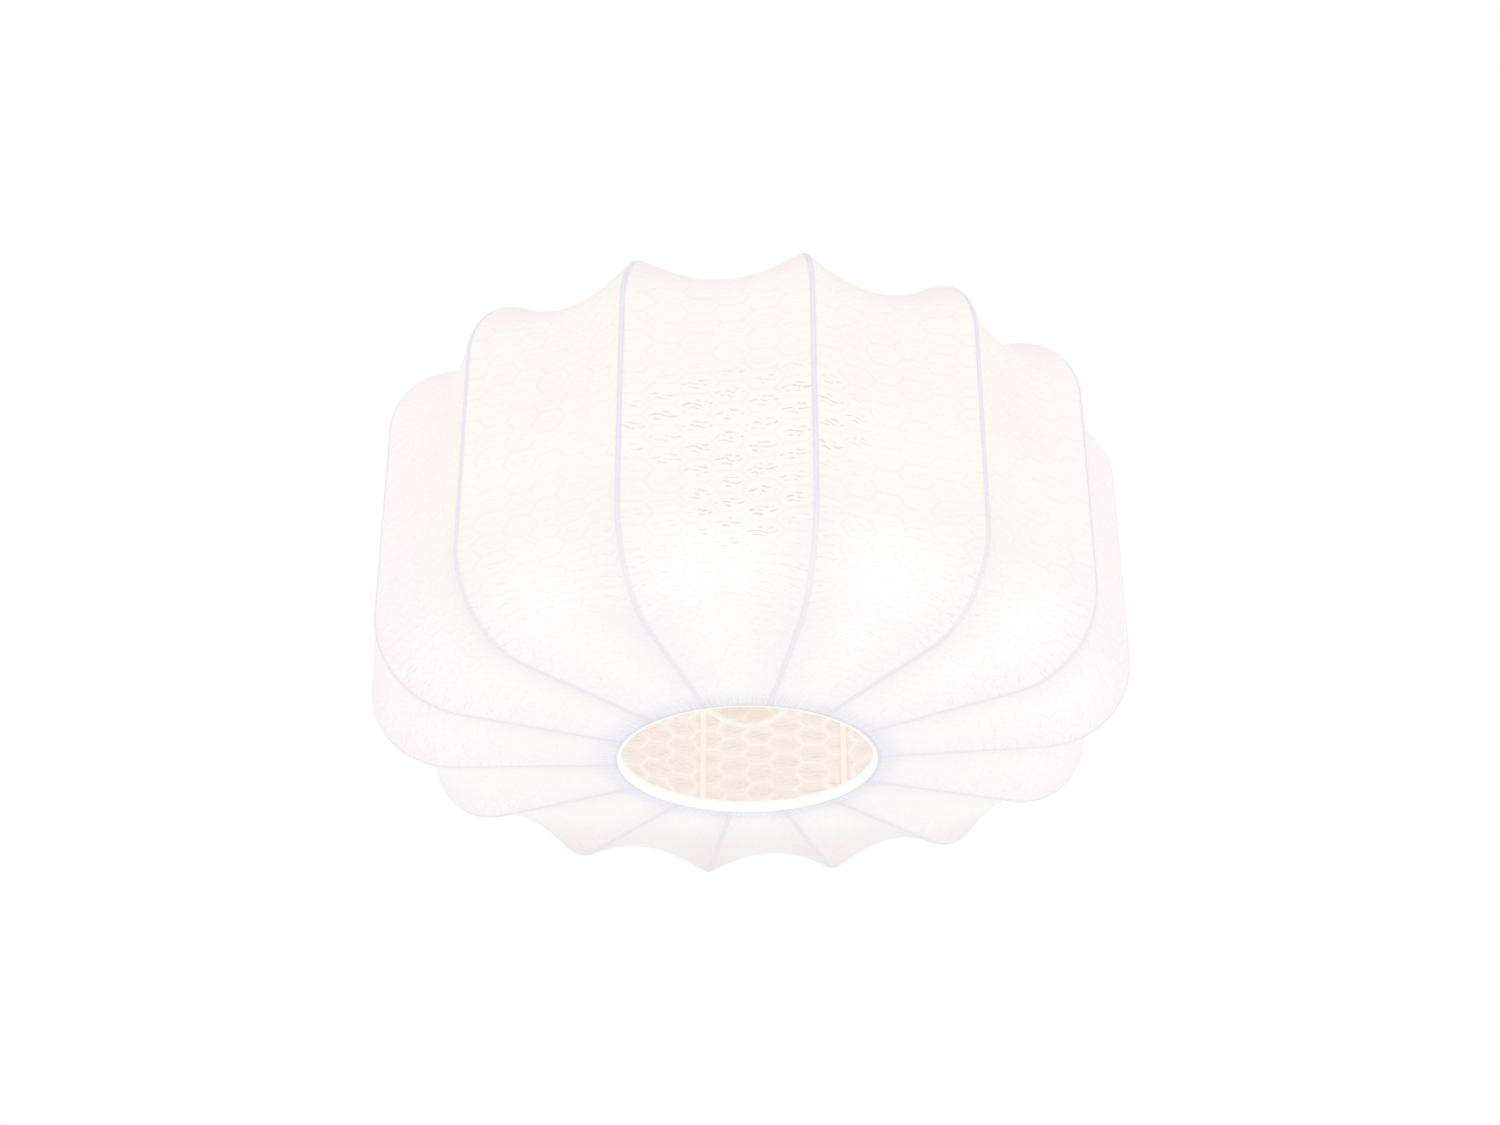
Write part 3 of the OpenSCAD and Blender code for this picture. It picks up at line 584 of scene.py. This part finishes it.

cloth = Finish("knit_outside")
knit = honeycomb(cloth)
level = (knit["height"] - shade_low) / (shade_high - shade_low)
# painted light and shade by height: cream where the bulb shines through the wall, pinker at the crown, cooler
# on the shaded underside
tone = cloth.term("ShaderNodeValToRGB", {"stops": [
    (0.0, (0.955, 0.908, 0.935)), (0.15, (0.948, 0.912, 0.924)), (0.28, (0.948, 0.928, 0.884)),
    (0.42, (0.966, 0.928, 0.864)), (0.58, (0.966, 0.918, 0.862)), (0.86, (0.970, 0.926, 0.880)),
    (0.94, (0.966, 0.862, 0.852)), (1.0, (0.96, 0.83, 0.83))]}, {0: level})
on_wall = cloth.step(level, 0.05, 0.3)
side_shade = cloth.step(cloth.math("ABSOLUTE", knit["x"]), *SIDE_SHADE)
back_shade = cloth.step(knit["y"], *BACK_SHADE)
# painted shade on the two sides of the wall and on the back of the underside
tone = cloth.mix(side_shade * 0.8, tone, (0.982, 0.910, 0.965))
tone = cloth.mix(back_shade * 0.8 * (1 - on_wall), tone, (0.87, 0.79, 0.82))
print("ground colour and honeycomb in", len(cloth.tree.nodes), "nodes")

# %% [markdown]
# ## The cover outside: its knit
# In front of the bulb its light, shining through the cloth, shows up the stitches in one large patch with a
# smaller one under it. This is painted light: the stitch gaps are darker there and their relief deeper. Each
# is an ellipse round the front of the sleeve, and noise frays both. Then the knit is laid over the ground
# colour, from the faintest to the strongest: soft clouds, fine wales, the borders of the cells and the dark
# gaps of the loose stitches.

# %% Knit of the outside
# half the width in cells, then the middle's height and half the height in metres
BACKLIT_PATCHES = [(3.7, -0.124, 0.031), (1.7, -0.166, 0.021)]

off_front = knit["turn"] - FRONT
clear_of_patches = 1.0
for half_width, middle, half_height in BACKLIT_PATCHES:
    sideways, upward = off_front / half_width, (knit["height"] - middle) / half_height
    clear_of_patches = cloth.math("MINIMUM", clear_of_patches, cloth.step(sideways * sideways + upward * upward, 0.6, 1.4))
backlit = (1 - clear_of_patches) * cloth.step(cloth.noise(45.0, 1.0), 0.26, 0.42)
tone = cloth.mix(cloth.noise(18.0) * 0.25, tone, (0.93, 0.885, 0.885))
tone = cloth.mix(knit["wales"] * 0.14, tone, (0.86, 0.80, 0.78))
tone = cloth.mix(knit["border"] * 0.30, tone, (0.88, 0.82, 0.80))
# painted light: in the two patches before the bulb its light through the cloth shows the stitch gaps darker
tone = cloth.mix(knit["stitches"] * (0.22 - 0.12 * on_wall + 0.38 * backlit), tone, (0.45, 0.48, 0.43))
print(len(BACKLIT_PATCHES), "worn patches, the larger", round(2000 * BACKLIT_PATCHES[0][2]), "mm high")

# %% [markdown]
# ## The cover outside: gathers at the hoops
# Where the sleeve is sewn to a hoop its stitches draw it into short radial gathers. They are fine enough to
# be a finish. Noise that changes only with the azimuth gives every strand a reach of its own, and painted
# shade darkens the creases between the strands, most next to the hoop. A soft painted shade lies under them
# round the mouth.

# %% Gathers, with painted shade
REACH = 0.003  # the least that a strand reaches
SPREAD = 0.026  # how much further it may reach
SHADE_REACH = 0.020  # how far the soft shade at the hoop reaches
CROWN = along[-1]

strand = cloth.noise_along(knit["turn"] * 6.0)
at_mouth = cloth.step(knit["length"], REACH + SPREAD * strand, 0.001)
at_crown = cloth.step(knit["length"], CROWN - REACH - SPREAD * strand, CROWN - 0.001)
pulled = cloth.math("MAXIMUM", at_mouth, at_crown)
# painted shade: a soft shade round the mouth, then the shade in the creases of the gathers
tone = cloth.mix(cloth.step(knit["length"], SHADE_REACH, 0.0) * 0.30, tone, (0.82, 0.79, 0.89))
tone = cloth.mix(pulled * (0.15 + 0.85 * cloth.step(strand, 0.38, 0.62)), tone, (0.76, 0.755, 0.86))
print("gathers up to", round((REACH + SPREAD) * 1000), "mm long")

# %% [markdown]
# ## The cover outside: painted shadows over the ribs
# A wire behind thin cloth blocks the bulb's light, so it shows as a cool line, a painted shadow, and the
# ridge over it shows as a paler crest, a painted highlight. The line follows the stored distance from the
# nearest rib, so it lies on the wire whatever the wire's place. Beside the bulb the cloth is so bright that
# the line fades.

# %% Painted rib shadows and crest highlights
RIB_SHADOW, CREST_HIGHLIGHT = (0.0021, 0.0008), (0.0009, 0.0002)  # gaps at which each begins and is full
BULB_REACH = 0.07  # how far above and below the bulb's dome it brightens the cloth

above_dome = knit["height"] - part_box("bulb_glass")[0].z
beside_bulb = cloth.step(cloth.math("ABSOLUTE", above_dome), BULB_REACH, 0.0)
rib_gap = cloth.stored("rib_distance")
rib_shadow = cloth.step(rib_gap, *RIB_SHADOW) * (0.78 + 0.22 * on_wall) * (1 - 0.4 * beside_bulb)
crest_highlight = cloth.step(rib_gap, *CREST_HIGHLIGHT)
# painted shadow of each wire, then a painted highlight on the ridge over it
tone = cloth.mix(rib_shadow, tone, (0.745, 0.735, 0.822))
tone = cloth.mix(crest_highlight * 0.35, tone, (0.88, 0.88, 0.92))
print("rib lines over", len(rib_angles), "ribs")

# %% [markdown]
# ## The cover outside: light and relief
# A lamp inside the shade would need the light to pass through two thin skins, which is
# slow and noisy. The cloth gives a little light of its own instead: less on the
# underside, and most in the middle of a panel at the bulb's height. The knit is far too
# fine to model, so its relief is a bump: raised borders and wales, sunken stitches.

# %% Outside of the cover
glow = cloth.mix(cloth.step(level, 0.12, 0.42), (0.112, 0.107, 0.102), (0.154, 0.152, 0.146))
glow = cloth.mix(beside_bulb * cloth.stored("sunk"), glow, (0.146, 0.163, 0.150))
relief = knit["border"] * 0.7 + knit["wales"] * 0.3 - knit["stitches"] * (0.2 + 0.5 * backlit)
relief = relief + strand * pulled * 0.8
cover.data.materials.append(cloth.surface({
    "Base Color": tone, "Roughness": 0.85 - 0.1 * knit["border"],
    "Sheen Weight": 0.15, "Specular IOR Level": 0.2,
    "Emission Color": glow, "Emission Strength": 1.0, "Normal": cloth.bump(relief, 0.0003, 0.6)}))
print("finish of the outside:", len(cloth.tree.nodes), "nodes")

# %% [markdown]
# ## The cover inside
# Through the mouth the lining shows, lit directly by the bulb. Its peach tone is painted light, the bulb's
# warm light on the white cloth. The same honeycomb shows there the other way about: peach cells with pale
# borders. A second material is used, because the two sides of the cloth differ in the light they show. Beside
# each wire, where the cloth touches it, painted shade makes the lining a little darker.

# %% Inside of the cover
WIRE_SHADE = (0.0042, 0.0022)  # gaps at which the shade beside a wire begins and is full

lining = Finish("knit_inside")
knit = honeycomb(lining)
# painted light: the peach tone is the bulb's warm light on the white lining
tone = lining.mix(lining.noise(14.0), (0.76, 0.71, 0.685), (0.79, 0.755, 0.735))
tone = lining.mix(knit["middle"] * 0.3, tone, (0.72, 0.66, 0.62))
tone = lining.mix(knit["border"] * 0.9, tone, (0.84, 0.81, 0.785))
tone = lining.mix(knit["stitches"] * 0.35, tone, (0.60, 0.52, 0.46))
glow = lining.mix(knit["border"], (0.268, 0.260, 0.254), (0.318, 0.310, 0.304))
glow = lining.mix(knit["stitches"] * 0.3, glow, (0.22, 0.18, 0.15))
wire_shadow = lining.step(lining.stored("rib_distance"), *WIRE_SHADE)
# painted shade beside each wire, in the colour and in the glow
tone = lining.mix(wire_shadow * 0.4, tone, (0.70, 0.62, 0.55))
glow = lining.mix(wire_shadow * 0.2, glow, (0.22, 0.185, 0.16))
relief = knit["border"] * 0.7 - knit["stitches"] * 0.4 + knit["wales"] * 0.2
cover.data.materials.append(lining.surface({
    "Base Color": tone, "Roughness": 0.85 - 0.1 * knit["border"],
    "Sheen Weight": 0.1, "Specular IOR Level": 0.2,
    "Emission Color": glow, "Emission Strength": 1.0, "Normal": lining.bump(relief, 0.0003, 0.6)}))

side_of_face = [0] * (len(faces) - len(inner_faces)) + [1] * len(inner_faces)
cover.data.polygons.foreach_set("material_index", np.array(side_of_face, np.int32))
print("two finishes on the cover:", [m.name for m in cover.data.materials])

# %% [markdown]
# ## Hems
# At the mouth and at the crown the knit is folded round a flat steel hoop and stitched.
# What shows is a narrow white band inside each hoop with a rounded fold under it. A
# curve with a bevel would give a band of one even section. This one is swept round the
# axis point by point, so that it can wave slightly where hand stitching pulls it.


# %% Sweep a folded band
BAND_STEPS = 480
STITCH_PULL = 0.00018
PULL_LIFT = 0.4  # how much of the pull also lifts the band
PULL_WAVES = (19, 31, 47, 83)  # waves round the hoop that add up to the pull


def folded_band(name, section, seed):
    """A closed section of (radius, height, share of the pull) swept round the axis."""
    turn = np.arange(BAND_STEPS) / BAND_STEPS * math.tau
    generator = np.random.default_rng(seed)
    pull = 0
    for waves in PULL_WAVES:
        pull = pull + generator.uniform(0.3, 1) * np.cos(waves * turn + generator.uniform(0, math.tau))
    pull = STITCH_PULL * pull / np.abs(pull).max()
    section = np.array(section)
    band = []
    for k in range(BAND_STEPS):
        radius = section[:, 0] - pull[k] * section[:, 2]
        height = section[:, 1] + PULL_LIFT * pull[k] * section[:, 2]
        band.append(np.stack([radius * math.cos(turn[k]), radius * math.sin(turn[k]), height], -1))
    sides = grid_faces(BAND_STEPS, len(section), closed=True)[:, TURNED_OVER]
    piece = mesh_object(name, np.concatenate(band).tolist(), sides.tolist())
    store(piece, "stitch_turn", np.repeat(turn, len(section)))
    inside = section[:, 0].min()
    store(piece, "outward", np.tile(np.clip((section[:, 0] - inside - CLOTH) / CLOTH, 0, 1), BAND_STEPS))
    return piece


print("a hem is swept in", BAND_STEPS, "steps and pulled by up to", round(STITCH_PULL * 1000, 2), "mm")

# %% [markdown]
# Both hems have the same section, a strip as thick as the cloth: from the hoop's outer
# edge, over its rim in a round fold, and along its inside. At the mouth the fold faces
# down and at the crown up, so the section takes the direction as a sign.


# %% Make the two hems
HOOP_STRIP = 0.0015  # how thick the flat hoop is


def hem_section(hoop_out, edge, rim_end, up):
    """Corners of the strip. The stitches pull the fold most and the hidden ends not at all."""
    t = CLOTH
    hoop_in = hoop_out - HOOP_STRIP
    bend = np.linspace(0, math.pi / 2, 6)
    fold = [(hoop_in - t * math.sin(a), edge + up * t * (1 - math.cos(a)), 1) for a in bend]
    return [
        (hoop_out, edge + up * 0.15 * t, 0), (hoop_out - 0.3 * t, edge, 0.3), *fold,
        (hoop_in - t, rim_end - up * 0.3 * t, 0.6), (hoop_in - 0.7 * t, rim_end, 0.4),
        (hoop_in - 0.15 * t, rim_end, 0), (hoop_in - 0.15 * t, edge + up * t, 0),
        (hoop_out, edge + up * 0.95 * t, 0)]


hoop_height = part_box("bottom_hoop")[1].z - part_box("bottom_hoop")[0].z
mouth_section = hem_section(mouth_hoop, shade_low, shade_low + CLOTH + hoop_height, 1)
crown_section = hem_section(crown_hoop, shade_high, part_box("top_hem")[0].z, -1)
bottom_hem = folded_band("mouth_hem", mouth_section, 3)
top_hem = folded_band("crown_hem", crown_section, 4)
print("hems of", len(bottom_hem.data.polygons), "faces each")

# %% [markdown]
# The hem is the same yarn, pressed flat. The inner side faces the bulb and is bright.
# The side that lies against the cover is in its shade, more so where a stitch pinches it.

# %% Finish of the hems
hem = Finish("knit_hem")
hem_turn, outward = hem.stored("stitch_turn"), hem.stored("outward")
weave, fleck = hem.math("SINE", hem_turn * 420.0), hem.noise(700.0)
pinch = hem.step(hem.noise_along(hem_turn * 90.0), 0.35, 0.65)
tone = hem.mix(fleck * 0.4, (0.96, 0.95, 0.925), (0.90, 0.88, 0.85))
tone = hem.mix(outward * (0.5 + 0.4 * pinch), tone, (0.84, 0.82, 0.92))
glow = hem.mix(outward, (0.24, 0.235, 0.225), (0.11, 0.11, 0.11))
knit_hem = hem.surface({
    "Base Color": tone, "Roughness": 0.8 + 0.1 * fleck, "Sheen Weight": 0.15, "Specular IOR Level": 0.2,
    "Emission Color": glow, "Emission Strength": 1.0, "Normal": hem.bump(weave * 0.3 + fleck, 0.00015, 0.6)})
bottom_hem.data.materials.append(knit_hem)
top_hem.data.materials.append(knit_hem)
print("hem finish of", len(hem.tree.nodes), "nodes")

# %% [markdown]
# ## Coated wire
# Ribs, hoops and spider arms are steel with a thick cream powder coat. The coat shows as
# a faint orange peel and pools slightly warmer in places. The solids have the right
# shape already, so they stay and only get this finish. A little light of its own stands
# for the bulb's light on the wires, as in the cloth.


# %% Powder coat on the cage
def dress(material, *names):
    """Gives packed pieces a finish."""
    for name in names:
        for slot in nodes[name].material_slots:
            slot.material = material
    print(material.name, "on", ", ".join(names) if len(names) < 6 else f"{len(names)} pieces")


coat = Finish("wire_coat")
peel, pool = coat.noise(900.0, 2.0), coat.noise(45.0)
wire_coat = coat.surface({
    "Base Color": coat.mix(pool, (0.93, 0.89, 0.83), (0.95, 0.92, 0.87)), "Roughness": 0.42 + 0.15 * peel,
    "Emission Color": coat.mix(pool, (0.21, 0.19, 0.18), (0.23, 0.21, 0.20)), "Emission Strength": 1.0,
    "Normal": coat.bump(peel, 0.0001, 0.4)})
dress(wire_coat, *ribs, *arms, "top_hoop", "bottom_hoop", "fitter_ring")

# %% [markdown]
# ## Metals
# Screws, nuts and the bracket are zinc plated, the contacts are brass, and the bulb has
# a plated cap, a drop of solder, nickel wires and a tungsten filament. A metal is mostly
# reflection, so what tells one from another is its tint and how sharply it mirrors. One
# function makes them all, with soft darker clouds and fine scratches in the roughness.


# %% Metal finishes
def metal(name, pale, dark, roughness):
    """A cloudy metal with fine scratches."""
    finish = Finish(name)
    clouds, grain = finish.noise(60.0, 4.0), finish.noise(1400.0)
    return finish.surface({
        "Base Color": finish.mix(finish.step(clouds, 0.3, 0.7), pale, dark), "Metallic": 1.0,
        "Roughness": roughness + 0.12 * grain + 0.1 * clouds, "Normal": finish.bump(grain, 0.00003, 0.3)})


zinc = metal("zinc_plate", (0.72, 0.72, 0.70), (0.55, 0.56, 0.57), 0.28)
brass = metal("bright_brass", (0.83, 0.63, 0.30), (0.66, 0.48, 0.22), 0.22)
cap_metal = metal("plated_cap", (0.78, 0.74, 0.66), (0.66, 0.62, 0.55), 0.25)
solder = metal("dull_solder", (0.62, 0.62, 0.62), (0.45, 0.45, 0.46), 0.42)
nickel = metal("nickel_wire", (0.62, 0.60, 0.57), (0.5, 0.48, 0.46), 0.3)
# painted glow: the lit filament's golden light is painted into the metal's colour
tungsten = metal("hot_tungsten", (0.9, 0.62, 0.3), (0.7, 0.42, 0.2), 0.4)
dress(zinc, "mounting_bracket", "bracket_studs", "cup_nuts", "stem", "stem_washers", "stem_nuts", "earth_lug",
      "earth_screw", "terminal_screws", "block_screw", "holder_screws", "neck_screw")
dress(brass, "terminal_sleeves", "holder_shell", "centre_contact", "holder_terminals", "contact_rivets")
dress(cap_metal, "bulb_cap")
dress(solder, "bulb_tip")
dress(nickel, "bulb_wires")
dress(tungsten, "bulb_filament")

# %% [markdown]
# ## Enamel, plastics and ceramic
# The ceiling cup is enamelled, the lampholder is moulded plastic with a ceramic insert,
# and black glass closes the foot of the bulb's cap. None of these shows as a metal. They
# differ in gloss, in how coarse their grain is and in whether a clear coat lies over it,
# so those are what this second function takes.


# %% Enamel, plastics and ceramic
def moulded(name, pale, dark, roughness, grain_size, grain_depth, coat_weight=0.0):
    """A smooth coloured stuff with a fine grain, under a clear coat if it has one."""
    finish = Finish(name)
    clouds, grain = finish.noise(30.0), finish.noise(grain_size)
    return finish.surface({
        "Base Color": finish.mix(clouds, pale, dark), "Roughness": roughness + 0.12 * grain,
        "Coat Weight": coat_weight, "Coat Roughness": 0.15, "Normal": finish.bump(grain, grain_depth, 0.4)})


enamel = moulded("white_enamel", (0.90, 0.90, 0.88), (0.86, 0.86, 0.84), 0.25, 350.0, 0.0001, 0.3)
holder_plastic = moulded("holder_plastic", (0.90, 0.89, 0.86), (0.85, 0.84, 0.80), 0.28, 500.0, 0.00005, 0.2)
ceramic = moulded("holder_ceramic", (0.88, 0.86, 0.82), (0.82, 0.79, 0.74), 0.55, 1200.0, 0.0001)
block_plastic = moulded("block_plastic", (0.86, 0.83, 0.74), (0.80, 0.76, 0.66), 0.45, 800.0, 0.00005)
black_glass = moulded("black_glass", (0.03, 0.03, 0.035), (0.05, 0.05, 0.055), 0.12, 300.0, 0.00005)
dress(enamel, "ceiling_cup")
dress(holder_plastic, "holder_cap", "holder_body", "shade_ring")
dress(ceramic, "holder_insert")
dress(block_plastic, "terminal_block")
dress(black_glass, "bulb_insulator")

# %% [markdown]
# ## Leads
# Three leads carry the current and the earth, and the colour of a sleeve tells which is
# which. Two sleeves are plain. The earth's is green and yellow, which a sine over the
# place gives: it slopes, so the stripes climb round the sleeve whichever way it runs.

# %% Sleeves of the leads
brown = moulded("lead_brown", (0.25, 0.12, 0.06), (0.20, 0.09, 0.05), 0.5, 900.0, 0.00003)
blue = moulded("lead_blue", (0.10, 0.20, 0.45), (0.08, 0.16, 0.38), 0.5, 900.0, 0.00003)
dress(brown, "live_lead")
dress(blue, "neutral_lead")
sleeve = Finish("lead_green_yellow")
x, _, z = sleeve.coordinates()
stripe = sleeve.step(sleeve.math("SINE", (x + z * 0.6) * 2600.0), -0.1, 0.1)
dress(sleeve.surface({
    "Base Color": sleeve.mix(stripe, (0.62, 0.60, 0.05), (0.06, 0.30, 0.08)),
    "Roughness": 0.45 + 0.1 * sleeve.noise(900.0)}), "earth_lead")

# %% [markdown]
# ## Glass
# Blown bulb glass is thin. Seen straight through it only darkens a little what is behind it, and towards its
# outline it mirrors the bright room. Refraction would add nothing but noise, so the finish mixes clear and
# mirror by how steeply the surface is seen. The mirror part also gives a little light of its own, a painted
# reflection that brightens the outline.

# %% Thin clear glass
glass = Finish("clear_glass")
dust = glass.step(glass.noise(60.0, 4.0), 0.5, 0.8)
through = glass.term("ShaderNodeBsdfTransparent", None, {0: (0.975, 0.965, 0.95, 1)})
# the mirror part also glows a little: a painted reflection of the bright room at the outline
mirror = glass.term("ShaderNodeBsdfPrincipled", None, {
    "Base Color": (0.96, 0.95, 0.93, 1), "Metallic": 0.0, "Roughness": 0.03 + 0.05 * dust, "Coat Weight": 1.0,
    "Emission Color": (0.5, 0.48, 0.43, 1), "Emission Strength": 0.6})
edge_on = glass.term("ShaderNodeLayerWeight", None, {0: 0.35}, "Facing")
mirrored = glass.step(edge_on, 0.35, 1.0) * 0.75 + 0.06
both = glass.term("ShaderNodeMixShader", None, {0: mirrored, 1: through, 2: mirror})
glass.node("ShaderNodeOutputMaterial", None, {0: both})
dress(glass.material, "bulb_glass", "bulb_mount")

# %% [markdown]
# ## Screw threads
# The solids stand for both screws as plain cylinders. The bulb's cap has the round
# rolled thread of a screw-cap lamp, and the holder's body a finer one for the shade ring.
# The Screw modifier makes a thread that starts and ends abruptly. Here a closed outline
# of radius and height is swept round the axis, and where it is marked as threaded its
# radius dips in a wave that climbs by one pitch in a turn and fades at both ends. The
# crests keep the solid's radius, so the pieces still fit.


# %% Sweep a threaded outline
MM = 0.001
TURN_STEPS = 96
ROWS_PER_PITCH = 10
SHARP_EDGE = math.radians(50)


def turned(name, profile, pitch, depth, low, high):
    """Sweeps (radius, height, thread) corners; a threaded wall is cut into fine rows."""
    found = []
    for (r0, z0, t0), (r1, z1, t1) in zip(profile, profile[1:] + profile[:1]):
        steps = max(1, round(abs(z1 - z0) / (pitch / ROWS_PER_PITCH))) if t0 and t1 else 1
        found += [(r0 + (r1 - r0) * k / steps, z0 + (z1 - z0) * k / steps, t0) for k in range(steps)]
    radius, height, threaded = np.array(found, float).T
    around = np.arange(TURN_STEPS) / TURN_STEPS * math.tau
    phase = height[:, None] / pitch - around[None, :] / math.tau
    fade = np.clip((height - low) / pitch, 0, 1) * np.clip((high - height) / pitch, 0, 1)
    dip = depth * (0.5 - 0.5 * np.cos(math.tau * phase)) * (threaded * fade)[:, None]
    swept = radius[:, None] - dip
    heights = np.repeat(height[:, None], TURN_STEPS, 1)
    grid = np.stack([swept * np.cos(around), swept * np.sin(around), heights], -1)
    sides = grid_faces(len(radius), TURN_STEPS, closed=True)
    piece = mesh_object(name, grid.reshape(-1, 3).tolist(), sides.tolist())
    piece.data.set_sharp_from_angle(angle=SHARP_EDGE)
    print(name, "of", len(piece.data.polygons), "faces, pitch", round(pitch * 1000, 2), "mm")
    return piece

# %% [markdown]
# ## Thread of the bulb's cap
# The cap is thin rolled brass, plated. From its foot it is plain for a short way, where
# it grips the glass, and the thread fills the rest. The wall is under half a millimetre
# thick, and only the outside of the thread shows.

# %% Bulb cap
CAP_PITCH, CAP_DEPTH = 3.62 * MM, 0.85 * MM

cap_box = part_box("bulb_cap")
cap_out, cap_foot, cap_top = cap_box[1].x, cap_box[0].z, cap_box[1].z
cap_in, collar = cap_out - 0.4 * MM, cap_out - 0.1 * MM
thread_low, thread_high = cap_foot + 10.6 * MM, cap_top - 1.2 * MM
cap_thread = turned("bulb_cap_thread", [
    (cap_in, cap_foot, 0), (cap_out, cap_foot, 0), (cap_out, cap_foot + 0.6 * MM, 0),
    (collar, cap_foot + 1.2 * MM, 0), (collar, cap_foot + 10 * MM, 0),
    (cap_out, thread_low, 1), (cap_out, thread_high, 1), (cap_out - 0.3 * MM, cap_top, 0),
    (cap_in, cap_top, 0)], CAP_PITCH, CAP_DEPTH, thread_low, thread_high)
cap_thread.data.materials.append(cap_metal)

# %% [markdown]
# ## Thread of the lampholder's body
# The body is a moulded tube, threaded from its rim up to a flange. The shade ring runs on
# that thread and clamps the shade. Above the flange the tube is plain, and a narrower
# spigot enters the cap.

# %% Lampholder body
BODY_PITCH, BODY_DEPTH = 2.5 * MM, 0.7 * MM

body_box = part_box("holder_body")
rim, body_top = body_box[0].z, body_box[1].z
thread_out, bore, chamfer = 20 * MM, 16.5 * MM, 1.2 * MM
flange_out, flange_foot, flange_top = body_box[1].x, rim + 27 * MM, rim + 29 * MM
shoulder, spigot_out = body_top - 4 * MM, 19.1 * MM
run_out = flange_foot - 0.6 * MM
body_thread = turned("holder_body_thread", [
    (bore + chamfer, rim, 0), (thread_out - 0.4 * MM, rim, 0), (thread_out, rim + 0.4 * MM, 1),
    (thread_out, run_out, 1), (thread_out, flange_foot, 0), (flange_out, flange_foot, 0),
    (flange_out, flange_top, 0), (thread_out, flange_top, 0), (thread_out, shoulder, 0),
    (spigot_out, shoulder, 0), (spigot_out, body_top, 0), (bore, body_top, 0),
    (bore, rim + chamfer, 0)], BODY_PITCH, BODY_DEPTH, rim, run_out)
body_thread.data.materials.append(holder_plastic)

# %% [markdown]
# ## The filament
# An old-style lamp carries its tungsten on four nickel wires, in an open ring. The wire
# itself is wound into a fine coil, which the solid shows as a plain rod. The Screw
# modifier winds a coil along a straight axis only, so the helix round the ring is worked
# out point by point and a thin tube is laid along it. Every ring of the tube leans on the
# same skew direction, and the wire never runs quite along that.


# %% Lay a tube along points
SKEW = [0.3, 0.5, 0.81]


def wire_tube(name, centres, radius, sides=6):
    """A round tube along a row of points."""
    centres = np.asarray(centres)
    heading = np.gradient(centres, axis=0)
    heading /= np.linalg.norm(heading, axis=1, keepdims=True)
    first = np.cross(heading, SKEW)
    first /= np.linalg.norm(first, axis=1, keepdims=True)
    second = np.cross(heading, first)
    a = np.arange(sides) / sides * math.tau
    outward = np.cos(a)[:, None] * first[:, None] + np.sin(a)[:, None] * second[:, None]
    rings = centres[:, None] + radius * outward
    count = len(centres)
    print(name, "of", count, "rings,", round(2000 * radius, 2), "mm thick")
    ends = [list(range(sides))[::-1], [(count - 1) * sides + j for j in range(sides)]]
    return mesh_object(name, rings.reshape(-1, 3).tolist(), grid_faces(count, sides).tolist() + ends)


# %% [markdown]
# The ring starts and ends just past the first and the last nickel wire, so it is open
# between those two. Nine steps to a coil are enough to look round at this size.

# %% Wind the filament
COILS, STEPS_PER_COIL = 90, 9
COIL_RADIUS, TUNGSTEN_RADIUS = 0.38 * MM, 0.11 * MM
GAP_START, RING_ARC = 29, 302  # degrees: where the open ring begins, and how far it runs

filament_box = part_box("bulb_filament")
ring_z = (filament_box[0].z + filament_box[1].z) / 2
ring_r = filament_box[1].y - 0.5 * MM
s = np.arange(COILS * STEPS_PER_COIL + 1) / (COILS * STEPS_PER_COIL)
ring_angle = np.radians(GAP_START + RING_ARC * s)
wind = s * COILS * math.tau
r = ring_r + COIL_RADIUS * np.cos(wind)
helix = np.stack([r * np.cos(ring_angle), r * np.sin(ring_angle), ring_z + COIL_RADIUS * np.sin(wind)], -1)
filament = wire_tube("coiled_filament", helix, TUNGSTEN_RADIUS)
filament.data.materials.append(tungsten)
print("filament ring radius", round(ring_r * 1000, 2), "mm with", COILS, "coils")

# %% [markdown]
# ## Joining the pieces to the frame
# A new piece has to move with the solid that it stands for. The cover and its hems ride on the shade, the
# thread of the cap and the filament on the bulb, and the holder's body on the fitting. Each takes its solid's
# place, and the solid is hidden. The cover was cut an eighth smaller round than the cage, which is why it is
# taut.

# %% Join the pieces to the frame
for piece, replaced in ((cover, "fabric_cover"), (bottom_hem, "bottom_hem"), (top_hem, "top_hem")):
    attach(piece, "shade")
    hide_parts(replaced)
for piece, replaced in ((cap_thread, "bulb_cap"), (filament, "bulb_filament")):
    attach(piece, "bulb")
    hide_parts(replaced)
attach(body_thread, "fitting")
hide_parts("holder_body")
print("made here:", [piece.name for piece in (cover, bottom_hem, top_hem, cap_thread, filament, body_thread)])

# %% [markdown]
# ## Sizes
# The dressed lantern must not outgrow the solid one.
